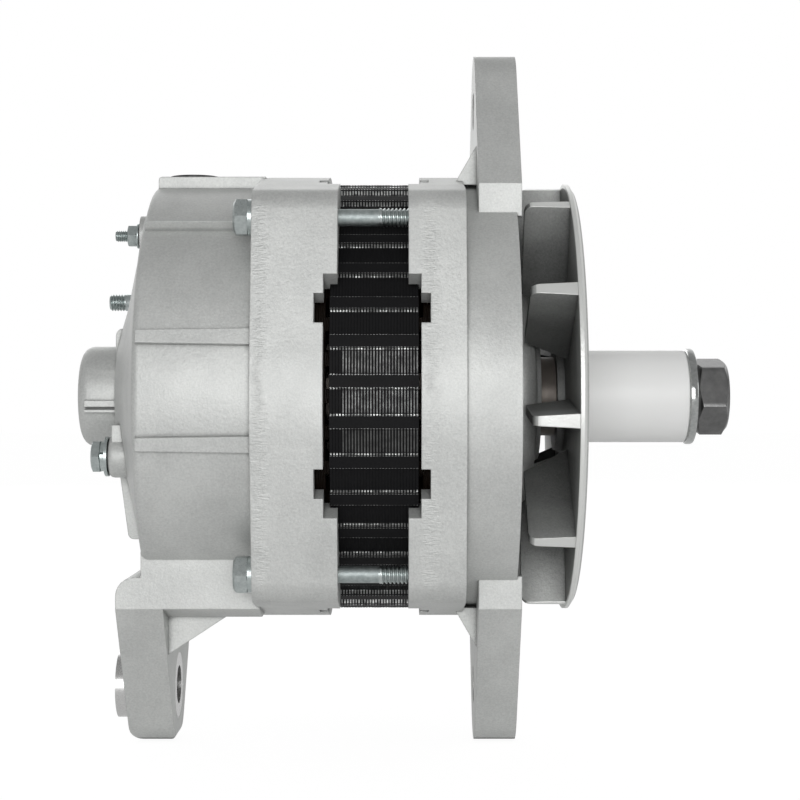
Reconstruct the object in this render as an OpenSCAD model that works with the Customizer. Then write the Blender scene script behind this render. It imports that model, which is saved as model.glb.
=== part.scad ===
// Heavy-duty truck alternator: two cast frames clamp a laminated stator, and a claw-pole rotor turns inside.
// Lengths are millimetres. X runs along the shaft towards the pulley end and Z is up.
// The origin is the middle of the front pivot lug's bore.

/* [Mounting lugs] */
// Gap between the front pivot lug and the rear foot
foot_gap = 101.6; // [100:0.1:103]
// Diameter of the three mounting bores
mount_bore = 13; // [10:0.1:14]
// Drop from the shaft axis to the two pivot bores
pivot_drop = 99.4; // [97:0.1:104]
// Rise from the shaft axis to the adjusting bore
adjust_rise = 98.4; // [97:0.1:104]
// Thickness of the two front lugs
lug_t = 14; // [12:0.1:16]
// Thickness of the rear foot
foot_t = 15.4; // [13:0.1:17]
// Radius of the round end of each lug
lug_end_r = 18.6; // [17:0.1:20]
// Width of a lug at the frame
lug_w = 88; // [84:0.5:92]
// Distance from the shaft axis at which a lug starts to narrow
lug_shoulder = 68.6; // [66:0.1:71]
// Outer diameter of the sliding bushing
bushing_d = 22.2; // [20:0.1:24]
// How far the bushing stands out behind the foot
bushing_travel = 5.1; // [3:0.1:7]

/* [Drive-end frame] */
// Distance from the pivot lug's middle back to the flange's front face
front_flange_back = 11.6; // [10:0.1:13]
// Distance from the flange's front face back to the stator's seat
front_seat_depth = 14.9; // [13:0.1:17]
// Step from the flange down to the ring in front of it
front_ring_step = 1.3; // [0.5:0.1:2]
// Distance from the pivot lug's middle to the ring's front edge
front_ring_edge = 5.4; // [4.5:0.1:6.2]
// Thickness of the vented front wall
front_wall_t = 5; // [4:0.1:6]
// Number of air outlets in the front wall
front_vents = 12; // [8:1:14]
// Inner radius of the air outlets
front_vent_in = 43; // [42:0.5:46]
// Outer radius of the air outlets
front_vent_out = 63; // [58:0.5:65]
// Width of each spoke between two outlets
spoke_w = 6; // [4:0.5:8]
// Radius of the front bearing hub
hub_r = 37; // [35.5:0.1:38]
// Radius of the nose in front of the front bearing
nose_r = 22.5; // [20:0.1:25]

/* [Frame flanges] */
// How far both flanges stand out past the stack
flange_wall = 2.6; // [2:0.1:4]
// Distance from the stack out to the middle of a through bolt
bolt_reach = 7.1; // [6.5:0.1:9]
// Radius of each bolt ear
ear_r = 9; // [8:0.1:11]
// Width of the ledge that the stack seats against in both frames
seat_ledge = 2.9; // [2:0.1:4]
// Half angle of each of the four side windows
window_half = 28.7; // [24:0.1:30]
// How far the front ears lap over the stator
ear_lap_front = 3.1; // [2:0.1:4]
// How far the rear ears lap over the stator
ear_lap_rear = 2.4; // [1.5:0.1:4]
// Gap between the stator's front end and the front window edge
window_relief_front = 0.8; // [0.4:0.1:1.5]
// Gap between the stator's rear end and the rear window edge
window_relief_rear = 1.9; // [0.6:0.1:2.5]
// Width of the small notches in the window edges
notch_w = 9.2; // [6:0.1:10]
// Depth of the small notches
notch_depth = 2.9; // [1.5:0.1:4]
// Angle of the small notches from the middle of a window
notch_angle = 20.9; // [18:0.1:22]

/* [Rear frame] */
// Length of the rear flange behind the stator's seat
rear_flange_len = 24.4; // [21:0.1:26]
// Length of the rear body behind its flange
rear_body_len = 37.3; // [36:0.1:40]
// Step from the flange down to the recessed side panels
panel_step = 6.4; // [5:0.1:7]
// Height of the ribs over the panels
rib_h = 1.9; // [1:0.1:2.5]
// Width of each rib at the flange
rib_w = 5.3; // [3:0.1:7]
// How much narrower each rib is at the rear
rib_taper = 1.1; // [0:0.1:2]
// Wall thickness of the rear body
rear_wall = 4; // [3.5:0.1:5]
// How far the coned rear wall stands out behind the rear rim at the bearing boss
cone_rise = 11.8; // [9:0.1:14]
// How far it stands out half way down
cone_mid_rise = 7.5; // [6:0.1:10]
// Rise of the top of the rear body over its side panels
top_zone_rise = 3.2; // [1:0.1:4]
// Half angle of the raised top
top_zone_half = 38.6; // [30:0.1:45]
// Half width of the pad along the top
top_pad_half = 15.8; // [12:0.1:20]
// Rise of the pad over the top of the body
top_pad_rise = 2.2; // [1:0.1:3]
// How far the plug stands out of the pad
plug_rise = 1.6; // [0.5:0.1:2.5]
// Diameter of the plug in the top pad
plug_d = 17; // [12:0.1:20]
// How far the flat underside lies below the side panels
belly_rise = 3.8; // [2:0.1:6]
// Radius of the rear bearing boss
rear_boss_r = 17.15; // [16.5:0.05:18.5]
// Length of the rear bearing boss behind the rear rim
rear_boss_len = 25.5; // [23:0.1:27]
// Number of air inlet slots in the rear wall, all on the side away from the ground screw
inlet_slots = 8; // [5:1:9]
// Width of an air inlet slot
inlet_w = 5; // [3:0.1:6]

/* [Stator] */
// Length of the laminated stack
stack_len = 27.6; // [25:0.1:30]
// Air gap between the rotor and the stack
air_gap = 0.5; // [0.3:0.1:0.8]
// Depth of the stack from its bore to the outside of its ribs
stack_depth = 19.3; // [18:0.1:21]
// Number of slots, and of ribs round the outside
slots = 36; // [36:6:48]
// Depth of the outer grooves between two ribs
groove_depth = 2; // [1:0.1:2.8]
// Width of each rib round the outside
stack_rib_w = 4.1; // [3:0.1:5]
// Width of a slot
slot_w = 5; // [4:0.1:5.6]
// Depth of the solid ring outside the slots, ribs included
stack_yoke = 6.4; // [5.5:0.1:8]
// Length of each end turn beyond the stack
end_turn_len = 12.5; // [10:0.1:13]

/* [Rotor] */
// Radius over the claws
rotor_r = 52.6; // [52:0.1:52.7]
// Length over both pole pieces
pole_len = 50; // [46:0.5:52]
// Thickness of a pole piece's web
pole_web = 13; // [11:0.5:14]
// Number of claws on each pole piece
claws = 6; // [6:1:7]
// Width of a claw at its root
claw_root_w = 25; // [22:0.5:27]
// Width of a claw at its tip
claw_tip_w = 9; // [7:0.5:12]
// Thickness of a claw at its tip
claw_tip_t = 5; // [3:0.5:6]
// Radius of the field coil
coil_r = 41; // [36:0.5:42]
// Depth of the field coil and its bobbin over the core
coil_depth = 17; // [12:0.5:18]
// Shaft diameter under the poles
core_shaft_d = 25; // [24:0.1:25]
// Shaft diameter under the pulley
pulley_seat_d = 22.2; // [20:0.1:24]
// Diameter of the shaft's threaded end
shaft_thread_d = 15.9; // [14:0.1:18]
// Shaft diameter under the slip rings
ring_shaft_d = 17; // [15:0.1:18]
// Diameter of the slip rings
slip_ring_d = 26; // [24:0.1:28]
// Width of each slip ring
slip_ring_w = 7; // [6:0.1:8]

/* [Bearings] */
// Outer diameter of the front ball bearing
front_brg_d = 62; // [60:0.1:64]
// Width of the front ball bearing
front_brg_w = 17; // [15:0.1:18]
// Diameter of the front bearing's balls
ball_d = 10; // [9:0.1:10.5]
// Number of balls
balls = 9; // [7:1:10]
// Outer diameter of the rear bearing cup
rear_brg_d = 28; // [27:0.1:30]
// Width of the rear bearing cup
rear_brg_w = 14; // [12:0.1:15]
// Wall of the rear bearing cup
rear_cup_wall = 2; // [1.5:0.1:2.5]
// Diameter of the rear bearing's rollers
roller_d = 3.5; // [3:0.1:4]
// Number of rollers
rollers = 12; // [8:1:12]
// Wall of the inner race that the rollers run on
rear_inner_wall = 2.2; // [1.8:0.1:2.5]

/* [Fan and pulley end] */
// Radius of the fan disc
fan_r = 72.7; // [70:0.1:73]
// Thickness of the fan disc
fan_disc_t = 2.7; // [2:0.1:4]
// Distance from the pivot lug's middle to the fan's front face
fan_front = 25.9; // [25:0.1:28]
// Axial height of the fan blades
blade_h = 14.8; // [13:0.1:15.2]
// Thickness of a blade at its free edge
blade_tip_t = 2.9; // [2:0.1:3.5]
// Thickness of a blade at the disc
blade_root_t = 4.6; // [3.6:0.1:6]
// Inner radius of the blades at the disc
blade_in_r = 30; // [28:0.5:32]
// Diameter of the sleeve in the pulley's place
sleeve_d = 31.6; // [28:0.1:34]
// Length of the sleeve
sleeve_len = 39.7; // [36:0.1:44]
// Diameter of the pulley washer
washer_d = 33; // [30:0.1:36]
// Thickness of the pulley washer
washer_t = 3; // [2:0.1:4]
// Width across the flats of the pulley nut
nut_af = 23.8; // [22:0.1:27]
// Height of the pulley nut
nut_h = 11.2; // [9:0.1:13]

/* [Rear electrical parts] */
// Distance of the output stud across from the shaft axis
output_y = 25; // [23:0.5:27]
// Height of the output stud over the shaft axis
output_z = 33.7; // [32:0.1:36]
// Diameter of the output stud
output_d = 6; // [5:0.1:8]
// How far the output stud stands out behind the rear rim
output_len = 20.4; // [18:0.1:24]
// Length of the output stud's boss behind the rear rim
output_boss_len = 8.4; // [8:0.1:10]
// Distance of the relay stud across from the shaft axis
relay_y = 12; // [8:0.5:14]
// Height of the relay stud over the shaft axis
relay_z = 56.4; // [52:0.1:57]
// Diameter of the relay stud
relay_d = 4; // [3:0.1:5]
// How far the relay stud stands out behind the rear rim
relay_len = 16.4; // [15:0.1:22]
// Length of the relay stud's boss behind the rear rim
relay_boss_len = 7.4; // [4:0.1:9]
// Distance of the ground screw across from the shaft axis, towards the near side
ground_y = 25; // [23:0.5:26]
// Drop of the ground screw below the shaft axis
ground_z = 20; // [19:0.5:24]
// Thread diameter of the ground screw
ground_d = 6; // [5:0.1:6.4]
// Radius of the ground screw's boss
ground_boss_r = 7; // [5:0.1:7.5]
// Length of the ground screw's boss behind the rear rim
ground_boss_len = 13; // [12:0.1:16]
// Radius on which the rectifier diodes sit
diode_circle_r = 46; // [44:0.5:48]
// Diameter of a diode's body
diode_d = 12.7; // [11:0.1:13]
// Thickness of the two heat sinks
sink_t = 5; // [4:0.1:6]
// Distance from the rear wall to the heat sinks
sink_standoff = 5.5; // [4.5:0.1:6.5]
// Width of a brush across the shaft
brush_w = 8; // [6:0.1:9]
// Thickness of a brush along the shaft
brush_t = 5; // [4:0.1:5.6]
// Length of a new brush
brush_len = 16; // [14:0.1:18]
// How far a brush can be pushed back into its holder
brush_travel = 4; // [2:0.1:5]

/* [Fasteners and clearances] */
// Thread diameter of the four through bolts
bolt_d = 6; // [5:0.1:6.5]
// Shank diameter of the through bolts
bolt_shank_d = 5.4; // [5:0.1:6]
// Width across the flats of the bolt heads
bolt_af = 11.1; // [8:0.1:12]
// Height of the bolt heads
bolt_head_h = 4.6; // [3.5:0.1:6]
// Thickness of the lock washers
lock_t = 1.6; // [1:0.1:2]
// Radial clearance of the sliding bushing
slide_fit = 0.05; // [0.03:0.01:0.1]
// Radial clearance of the balls and rollers
race_fit = 0.12; // [0.1:0.01:0.2]
// Side clearance of the brushes in their holder, and of cages
side_fit = 0.3; // [0.25:0.01:0.4]
// How much thinner a stud is inside its nut and sleeve than over its free thread
shank_step = 0.25; // [0.1:0.05:0.5]
// Gap between a brush and its slip ring
brush_gap = 0.1; // [0.08:0.01:0.3]

/* [Hidden] */
$fn = 96;
// How far a cutter passes its face
cut = 1;

// Radii that follow from the rotor outwards
stack_bore_r = rotor_r + air_gap;
stack_r = stack_bore_r + stack_depth;
slot_out_r = stack_r - stack_yoke;
frame_bore_r = stack_r - seat_ledge;
flange_r = stack_r + flange_wall;
front_ring_r = flange_r - front_ring_step;
bolt_circle_r = stack_r + bolt_reach;
panel_r = flange_r - panel_step;
top_zone_r = panel_r + top_zone_rise;
top_pad_top = top_zone_r + top_pad_rise;
belly_drop = panel_r + belly_rise;

// Stations along the shaft, from the pulley end to the rear
front_flange_x = -front_flange_back;
core_front = front_flange_x - front_seat_depth;
core_rear = core_front - stack_len;
rear_flange_x = core_rear - rear_flange_len;
rear_rim_x = rear_flange_x - rear_body_len;
rear_boss_x = rear_rim_x - rear_boss_len;
foot_front_x = -lug_t / 2 - foot_gap;
foot_rear_x = foot_front_x - foot_t;
rear_wall_x = rear_rim_x + rear_wall - 0.2;
output_face_x = rear_rim_x - output_boss_len;
plug_x = rear_rim_x + 12.8;
front_ear_x = core_front - ear_lap_front;
rear_ear_x = core_rear + ear_lap_rear;

// Webs behind the two front lugs
gusset_w = lug_w - 34;
gusset_top = flange_r + 8;
gusset_low = flange_r - 5;
gusset_depth = 7.5;

// Front bearing and hub
front_brg_x = -lug_t / 2;
front_brg_front_x = front_brg_x + front_brg_w;
front_brg_r = front_brg_d / 2;
front_pitch_r = (core_shaft_d / 2 + front_brg_r) / 2;
race_step = ball_d * 0.475;
nose_x = front_brg_front_x + 5;
seal_r = 14.5;
spacer_r = 13.5;
retainer_t = 3;
retainer_in_r = front_brg_r - 3.6;
retainer_screw_r = 36;
retainer_boss_r = 5;
front_wall_front_x = front_ring_edge - 1;
front_wall_x = front_wall_front_x - front_wall_t;

// Rotor
rotor_mid_x = (core_front + core_rear) / 2;
pole_front_x = rotor_mid_x + pole_len / 2;
pole_rear_x = rotor_mid_x - pole_len / 2;
coil_len = pole_len - 2 * pole_web;
core_r = coil_r - coil_depth;
claw_len = pole_len - 5;
shoulder_r = 15;
ring_front_x = rear_wall_x + 4.5 + 2 * slip_ring_w + 3;
ring_pitch = slip_ring_w + 3;
ring_sleeve_r = slip_ring_d / 2 - 1.6;
rear_journal_r = rear_brg_d / 2 - rear_cup_wall - roller_d - rear_inner_wall;
rear_brg_x = rear_boss_x + 3.2;
rear_pitch_r = rear_brg_d / 2 - rear_cup_wall - roller_d / 2;
shaft_end_x = fan_front + sleeve_len + washer_t + nut_h - 1.4;
thread_start_x = fan_front + sleeve_len - 6;

// Rectifier and brushes
sink_x = rear_wall_x + sink_standoff;
sink_in_r = 30;
sink_out_r = 61;
output_at = [output_y, output_z];
relay_at = [relay_y, relay_z];
ground_at = [-ground_y, -ground_z];
positive_angles = [-20, 10, 30];
negative_angles = [140, 168, 196];
positive_span = [-42, 66];
negative_span = [114, 222];
diode_body_h = 6;
diode_lead_h = 7.5;
trio_x = sink_x + sink_t + diode_lead_h;
sink_screw_angles = [-34, 58, 128, 214];
sink_screw_r = 54;
brush_bottom = slip_ring_d / 2 + brush_gap;
brush_top = brush_bottom + brush_len;
spring_len = brush_travel + 7;
holder_top = brush_top + spring_len + 2;
holder_ear_z = holder_top - 5;
holder_screw_y = 10.5;
front_ring_mid_x = ring_front_x - slip_ring_w / 2;
rear_ring_mid_x = front_ring_mid_x - ring_pitch;

// Angles of the four bolt ears, and of the ribs along the rear body
ear_angles = [45, 135, 225, 315];
rib_angles = [-12.4, 15.3];
// Angles of the fan blades, unevenly spaced so that the fan doesn't whine
blade_angles = [6.2, 40.2, 76.2, 108, 139.8, 171.6, 203.4, 235.2, 267, 298.9, 332.1];
stack_phase = 6.4;

// Turns a shape drawn in the plane across the shaft, so that it stands at x and grows towards +X
module on_axis(x) translate([x, 0, pivot_drop]) rotate([90, 0, 90]) children();

// Points of an arc, for rounded profiles
function arc(cx, cy, r, from, to, n = 6) =
    [for (i = [0 : n]) let (a = from + (to - from) * i / n) [cx + r * cos(a), cy + r * sin(a)]];

// Revolved ring between two radii and two stations
module ring(x, len, r_in, r_out) {
    on_axis(x) linear_extrude(len) difference() {
        circle(r_out);
        circle(r_in);
    }
}

// Round bar or hole along the shaft at a place across it
module bar(x, len, r, at = [0, 0]) on_axis(x) translate([at[0], at[1], 0]) cylinder(h = len, r = r);

// Flat pie slice that starts at the axis
module slice(from, to, r) {
    polygon(concat([[0, 0]], [for (i = [0 : 6]) let (a = from + (to - from) * i / 6)
        [r * cos(a), r * sin(a)] / cos((to - from) / 12)]));
}

// Part of a flat ring between two angles
module ring_part(r_in, r_out, from, to) {
    intersection() {
        difference() {
            circle(r_out);
            circle(r_in);
        }
        slice(from, to, r_out * 1.2);
    }
}

// Hexagon by its width across the flats
module hexagon(af) circle(d = af / cos(30), $fn = 6);

// Hexagon bar whose rear corners are chamfered, as on a bolt head that faces the rear
module hex_head(x, h, af, at) {
    intersection() {
        on_axis(x) translate([at[0], at[1], 0]) linear_extrude(h) hexagon(af);
        on_axis(x) translate([at[0], at[1], 0])
            cylinder(h = h + cut, r1 = af * 0.48, r2 = af * 0.48 + (h + cut) * 1.7);
    }
}

// Point at a radius and an angle across the shaft
function at_angle(r, a) = [r * cos(a), r * sin(a)];

// Flange outline: a circle and four ears, joined by the lines that touch both
module flange_outline() {
    spread = acos((flange_r - ear_r) / bolt_circle_r);
    circle(flange_r);
    for (a = ear_angles) {
        ear = at_angle(bolt_circle_r, a);
        translate(ear) circle(ear_r);
        polygon([
            at_angle(flange_r, a - spread), ear + at_angle(ear_r, a - spread),
            ear + at_angle(ear_r, a + spread), at_angle(flange_r, a + spread), [0, 0]
        ]);
    }
}

// Cuts one flange's side windows from x and its notches, towards the flange; side is +1 or -1 along X
module window_cuts(seat_x, relief, lap, side) {
    edge = seat_x + side * relief;
    free = seat_x - side * (lap + cut);
    for (a = [0, 90, 180, 270]) {
        on_axis(min(edge, free)) linear_extrude(abs(edge - free))
            slice(a - window_half, a + window_half, flange_r * 1.3);
        for (b = [a - notch_angle, a + notch_angle])
            on_axis(side > 0 ? edge - cut : edge - notch_depth) linear_extrude(notch_depth + cut)
                rotate(b) translate([frame_bore_r - 4, -notch_w / 2]) square([20, notch_w]);
    }
}

// Lug outline: two side faces, then lines that touch the round end, at a distance reach from the axis
module lug_outline(reach, base) {
    half = lug_w / 2;
    lead = [-half, reach - lug_shoulder];
    d = norm(lead);
    tangent = sqrt(d * d - lug_end_r * lug_end_r);
    a = atan2(lead[1], lead[0]) - asin(lug_end_r / d);
    touch = [half + tangent * cos(a), lug_shoulder + tangent * sin(a)];
    translate([0, reach]) circle(lug_end_r);
    polygon([
        [-half, base], [-half, lug_shoulder], [-touch[0], touch[1]],
        touch, [half, lug_shoulder], [half, base]
    ]);
}

module drive_end_frame() color("gainsboro") difference() {
    union() {
        front_shell();
        front_hub();
    }
    for (a = ear_angles) bar(front_brg_x - cut, 10 + cut, 2.5, at_angle(retainer_screw_r, a));
}

// Flange, ring, vented wall and lugs of the drive-end frame
module front_shell() difference() {
    union() {
        on_axis(front_ear_x) linear_extrude(front_flange_x - front_ear_x) flange_outline();
        on_axis(front_flange_x - cut) linear_extrude(front_ring_edge - front_flange_x + cut)
            circle(front_ring_r);
        for (turn = [[0, adjust_rise], [180, pivot_drop]])
            on_axis(-lug_t / 2) rotate(turn[0]) linear_extrude(lug_t) lug_outline(turn[1], 58);
        for (turn = [0, 180]) translate([0, 0, pivot_drop]) rotate([turn, 0, 0])
            translate([0, gusset_w / 2, 0]) rotate([90, 0, 0]) linear_extrude(gusset_w) polygon([
                [-lug_t / 2 + cut, gusset_top], [-lug_t / 2, gusset_top],
                [-lug_t / 2 - gusset_depth, gusset_low], [-lug_t / 2 + cut, gusset_low]
            ]);
    }
    // Hollow behind the front wall
    on_axis(front_ear_x - cut) cylinder(h = front_wall_x - front_ear_x + cut, r = frame_bore_r);
    // Seat of the stator
    on_axis(front_ear_x - cut) cylinder(h = core_front - front_ear_x + cut, r = stack_r);
    window_cuts(core_front, window_relief_front, ear_lap_front, 1);
    // Shallow dish in front of the wall
    on_axis(front_wall_front_x) cylinder(h = cut + 2, r = front_ring_r - 4);
    // Air outlets
    on_axis(front_wall_x - cut) linear_extrude(front_wall_t + 2 * cut) difference() {
        circle(front_vent_out);
        circle(front_vent_in);
        for (i = [0 : front_vents - 1]) rotate((i + 0.5) * 360 / front_vents)
            translate([0, -spoke_w / 2]) square([front_vent_out + cut, spoke_w]);
    }
    // Room for the hub
    on_axis(front_wall_x - cut) cylinder(h = front_wall_t + 3 * cut, r = hub_r - 2);
    for (a = ear_angles) bar(front_ear_x - cut, front_flange_x - front_ear_x - 1.5, bolt_d / 2,
        at_angle(bolt_circle_r, a));
    bar(-lug_t / 2 - cut, lug_t + 2 * cut, mount_bore / 2, [0, adjust_rise]);
    bar(-lug_t / 2 - cut, lug_t + 2 * cut, mount_bore / 2, [0, -pivot_drop]);
}

// Hub that carries the front bearing, with a lip and nose in front of it
module front_hub() difference() {
    on_axis(front_brg_x) union() {
        rotate_extrude() polygon(concat(
            [[0, 0], [hub_r, 0], [hub_r, 12]], arc(hub_r - 6, 14, 6, 0, 60),
            [[nose_r + 4, 19.5], [nose_r, 22 - 1.5], [nose_r - 1, 22], [0, 22]]));
        for (a = ear_angles) rotate(a) translate([retainer_screw_r, 0, 0])
            cylinder(h = 13, r = retainer_boss_r);
    }
    on_axis(front_brg_x - cut) cylinder(h = front_brg_w + cut, r = front_brg_r);
    on_axis(front_brg_front_x - cut) cylinder(h = 10, r = seal_r);
}

module front_bearing_outer_race() color("silver") difference() {
    ring(front_brg_x, front_brg_w, front_pitch_r + race_step, front_brg_r);
    ball_groove();
}

module front_bearing_inner_race() color("silver") difference() {
    ring(front_brg_x, front_brg_w, core_shaft_d / 2, front_pitch_r - race_step);
    ball_groove();
}

// Groove that the balls run in
module ball_groove() on_axis(front_brg_x + front_brg_w / 2)
    rotate_extrude() translate([front_pitch_r, 0]) circle(ball_d / 2 + race_fit, $fn = 48);

module front_bearing_balls() color("lightgrey")
    for (i = [0 : balls - 1]) on_axis(front_brg_x + front_brg_w / 2)
        rotate(i * 360 / balls) translate([front_pitch_r, 0, 0]) sphere(d = ball_d, $fn = 32);

module front_bearing_cage() color("goldenrod") difference() {
    ring(front_brg_x + 2.5, front_brg_w - 5, front_pitch_r - 1.2, front_pitch_r + 1.2);
    for (i = [0 : balls - 1]) on_axis(front_brg_x + front_brg_w / 2)
        rotate(i * 360 / balls) translate([front_pitch_r - 4, 0, 0]) rotate([0, 90, 0])
            cylinder(h = 8, d = ball_d + 2 * race_fit, $fn = 48);
}

module bearing_retainer() color("slategrey") difference() {
    on_axis(front_brg_x - retainer_t) linear_extrude(retainer_t) difference() {
        union() {
            circle(retainer_screw_r - 1);
            for (a = ear_angles) translate(at_angle(retainer_screw_r, a)) circle(retainer_boss_r);
        }
        circle(retainer_in_r);
        for (a = ear_angles) translate(at_angle(retainer_screw_r, a)) circle(2.7);
    }
}

module bearing_retainer_screws() color("silver") for (a = ear_angles) {
    at = at_angle(retainer_screw_r, a);
    bar(front_brg_x - retainer_t - 2.6, 2.6, 4.2, at);
    bar(front_brg_x - retainer_t, retainer_t + 9, 2.5, at);
}

module stator_core() color([0.09, 0.09, 0.1]) on_axis(core_rear) linear_extrude(stack_len) difference() {
    circle(stack_r);
    circle(stack_bore_r);
    for (i = [0 : slots - 1]) rotate(i * 360 / slots) {
        translate([stack_bore_r + 1.6, -slot_w / 2]) square([slot_out_r - stack_bore_r - 1.6, slot_w]);
        translate([stack_bore_r - cut, -1.5]) square([3 + cut, 3]);
    }
    groove_w = 2 * PI * stack_r / slots - stack_rib_w;
    for (i = [0 : slots - 1]) rotate(stack_phase + (i + 0.5) * 360 / slots)
        translate([stack_r - groove_depth, -groove_w / 2]) square([groove_depth + cut, groove_w]);
}

module stator_winding() color("sienna") {
    bundle = slot_w - 0.6;
    on_axis(core_rear - 2) linear_extrude(stack_len + 4) for (i = [0 : slots - 1]) rotate(i * 360 / slots)
        translate([stack_bore_r + 2.2, -bundle / 2]) square([slot_out_r - stack_bore_r - 2.6, bundle]);
    end_turns(core_front + 1.5, 1);
    end_turns(core_rear - 1.5, -1);
}

// Ring of bundled end turns with a notch between two bundles; side is the way it reaches from x
module end_turns(x, side) difference() {
    len = end_turn_len - 1.5;
    notch = 2.2;
    r_in = stack_bore_r + 1.8;
    r_out = slot_out_r - 0.2;
    on_axis(x) mirror([0, 0, side < 0 ? 1 : 0]) rotate_extrude() polygon(concat(
        [[r_in, 0], [r_out, 0]], arc(r_out - 4, len - 4, 4, 0, 90), arc(r_in + 3, len - 3, 3, 90, 180)));
    for (i = [0 : slots - 1]) on_axis(side > 0 ? x + len - notch : x - len - cut)
        rotate((i + 0.5) * 360 / slots) translate([r_in - cut, -0.9, 0])
            cube([r_out - r_in + 2 * cut, 1.8, notch + cut]);
}

module phase_leads() color("sienna") for (a = positive_angles)
    bar(trio_x + 1.5, core_rear - end_turn_len - trio_x - 1.5, 1.3, at_angle(slot_out_r - 6, a));

module rear_frame() color("gainsboro") difference() {
    union() {
        on_axis(rear_flange_x) linear_extrude(rear_ear_x - rear_flange_x) flange_outline();
        rear_body();
        rear_foot();
        rear_pads();
        rear_bosses();
    }
    end_hollow();
    // Hollow of the flange and of the body
    on_axis(rear_flange_x + 5) cylinder(h = rear_ear_x - rear_flange_x, r = frame_bore_r);
    on_axis(rear_wall_x) cylinder(h = rear_ear_x - rear_wall_x + cut, r = panel_r - rear_wall);
    // Seat of the stator
    on_axis(core_rear) cylinder(h = ear_lap_rear + cut, r = stack_r);
    window_cuts(core_rear, window_relief_rear, ear_lap_rear, -1);
    // Seat of the rear bearing, and room for the shaft
    on_axis(rear_brg_x) cylinder(h = rear_wall_x - rear_brg_x + cut, r = rear_brg_d / 2);
    on_axis(rear_brg_x - 1.4) cylinder(h = 2, r = rear_journal_r + 1);
    air_inlets();
    for (a = ear_angles) bar(rear_flange_x - cut, rear_ear_x - rear_flange_x + 2 * cut, bolt_d / 2 + 0.2,
        at_angle(bolt_circle_r, a));
    bar(foot_rear_x - cut, foot_t + 2 * cut, bushing_d / 2 + slide_fit, [0, -pivot_drop]);
    bar(output_face_x - cut, output_boss_len + rear_wall + 2 * cut, output_d / 2 + 2.5, output_at);
    bar(rear_rim_x - relay_boss_len - cut, relay_boss_len + 10, relay_d / 2 + 1.6, relay_at);
    bar(rear_rim_x - ground_boss_len - cut, 12, ground_d / 2, ground_at);
    for (a = sink_screw_angles) bar(rear_wall_x - 2.5, 3, 2.2, at_angle(sink_screw_r, a));
    for (side = [-1, 1]) bar(rear_wall_x - 2.5, 3, 1.6, [side * holder_screw_y, holder_ear_z]);
    plug_hole();
}

// How far the coned rear wall stands out behind the rear rim at a radius
function cone_drop(r) = r > 35 ? cone_mid_rise * (panel_r - 3.1 - r) / (panel_r - 38.1)
    : cone_mid_rise + (cone_rise - cone_mid_rise) * (35 - r) / 13;

// Body of the rear frame: a coned end, side panels with ribs between them, and a raised top
module rear_body() {
    on_axis(rear_rim_x) rotate_extrude() polygon(concat(
        [[0, -cone_rise], [22, -cone_rise], [35, -cone_mid_rise]], arc(panel_r - 2.5, 2.5, 2.5, -107, 0, 7),
        [[panel_r, rear_body_len + cut], [0, rear_body_len + cut]]));
    for (a = rib_angles, side = [0, 1]) on_axis(rear_rim_x + 1.5) mirror([side, 0, 0]) rotate(180 - a)
        translate([panel_r - 3, 0, 0]) rotate([90, 0, 90]) linear_extrude(rib_h + 3) polygon([
            [(rib_taper - rib_w) / 2, 0], [(rib_w - rib_taper) / 2, 0],
            [rib_w / 2, rear_body_len], [-rib_w / 2, rear_body_len]
        ]);
    intersection() {
        on_axis(rear_rim_x + 1.3) rotate_extrude() polygon(concat(
            [[40, 0]], arc(top_zone_r - 1.5, 1.5, 1.5, -90, 0, 3),
            [[top_zone_r, rear_body_len], [40, rear_body_len]]));
        on_axis(rear_rim_x) linear_extrude(rear_body_len + 2 * cut)
            slice(90 - top_zone_half, 90 + top_zone_half, top_zone_r * 1.2);
    }
}

// Extrudes a side view, whose heights count from the shaft axis, to a half width on both sides
module across(half) translate([0, half, pivot_drop]) rotate([90, 0, 0]) linear_extrude(2 * half) children();

// Pad on top for the plug, and the flat belly below
module rear_pads() {
    pad_x = rear_rim_x + 2.2;
    across(top_pad_half) polygon(concat(
        [[rear_flange_x + cut, top_pad_top], [rear_flange_x + cut, top_zone_r - 8], [pad_x, top_zone_r - 8]],
        arc(pad_x + 1.2, top_pad_top - 1.2, 1.2, 180, 90, 3)));
    on_axis(rear_rim_x) linear_extrude(rear_body_len + cut) polygon([
        [-lug_w / 2, -50], [-lug_w / 2, -lug_shoulder], [-lug_w / 2 + 12, -belly_drop],
        [lug_w / 2 - 12, -belly_drop], [lug_w / 2, -lug_shoulder], [lug_w / 2, -50]
    ]);
}

// Foot below the rear frame with rounded corners, and the slanted web in front of it
module rear_foot() {
    foot_end = pivot_drop + lug_end_r;
    intersection() {
        on_axis(foot_rear_x) rotate(180) linear_extrude(foot_t) lug_outline(pivot_drop, 50);
        across(lug_w) polygon(concat(
            [[foot_front_x + cut, -49], [rear_rim_x, -49], [rear_rim_x, -58.4]],
            arc(foot_rear_x + 6, -64.4, 6, 90, 180), arc(foot_rear_x + 5.5, 5.5 - foot_end, 5.5, 180, 270),
            arc(foot_front_x - 3.5, 3.5 - foot_end, 3.5, 270, 360),
            [[foot_front_x, -60], [foot_front_x + cut, -60]]));
    }
    across(lug_w / 2 - 14) polygon([
        [foot_front_x - cut, -belly_drop + 2], [foot_front_x + 19.4, -belly_drop + 2],
        [foot_front_x + 19.4, -belly_drop], [foot_front_x, -belly_drop - 12.7],
        [foot_front_x - cut, -belly_drop - 12.7]
    ]);
}

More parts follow.
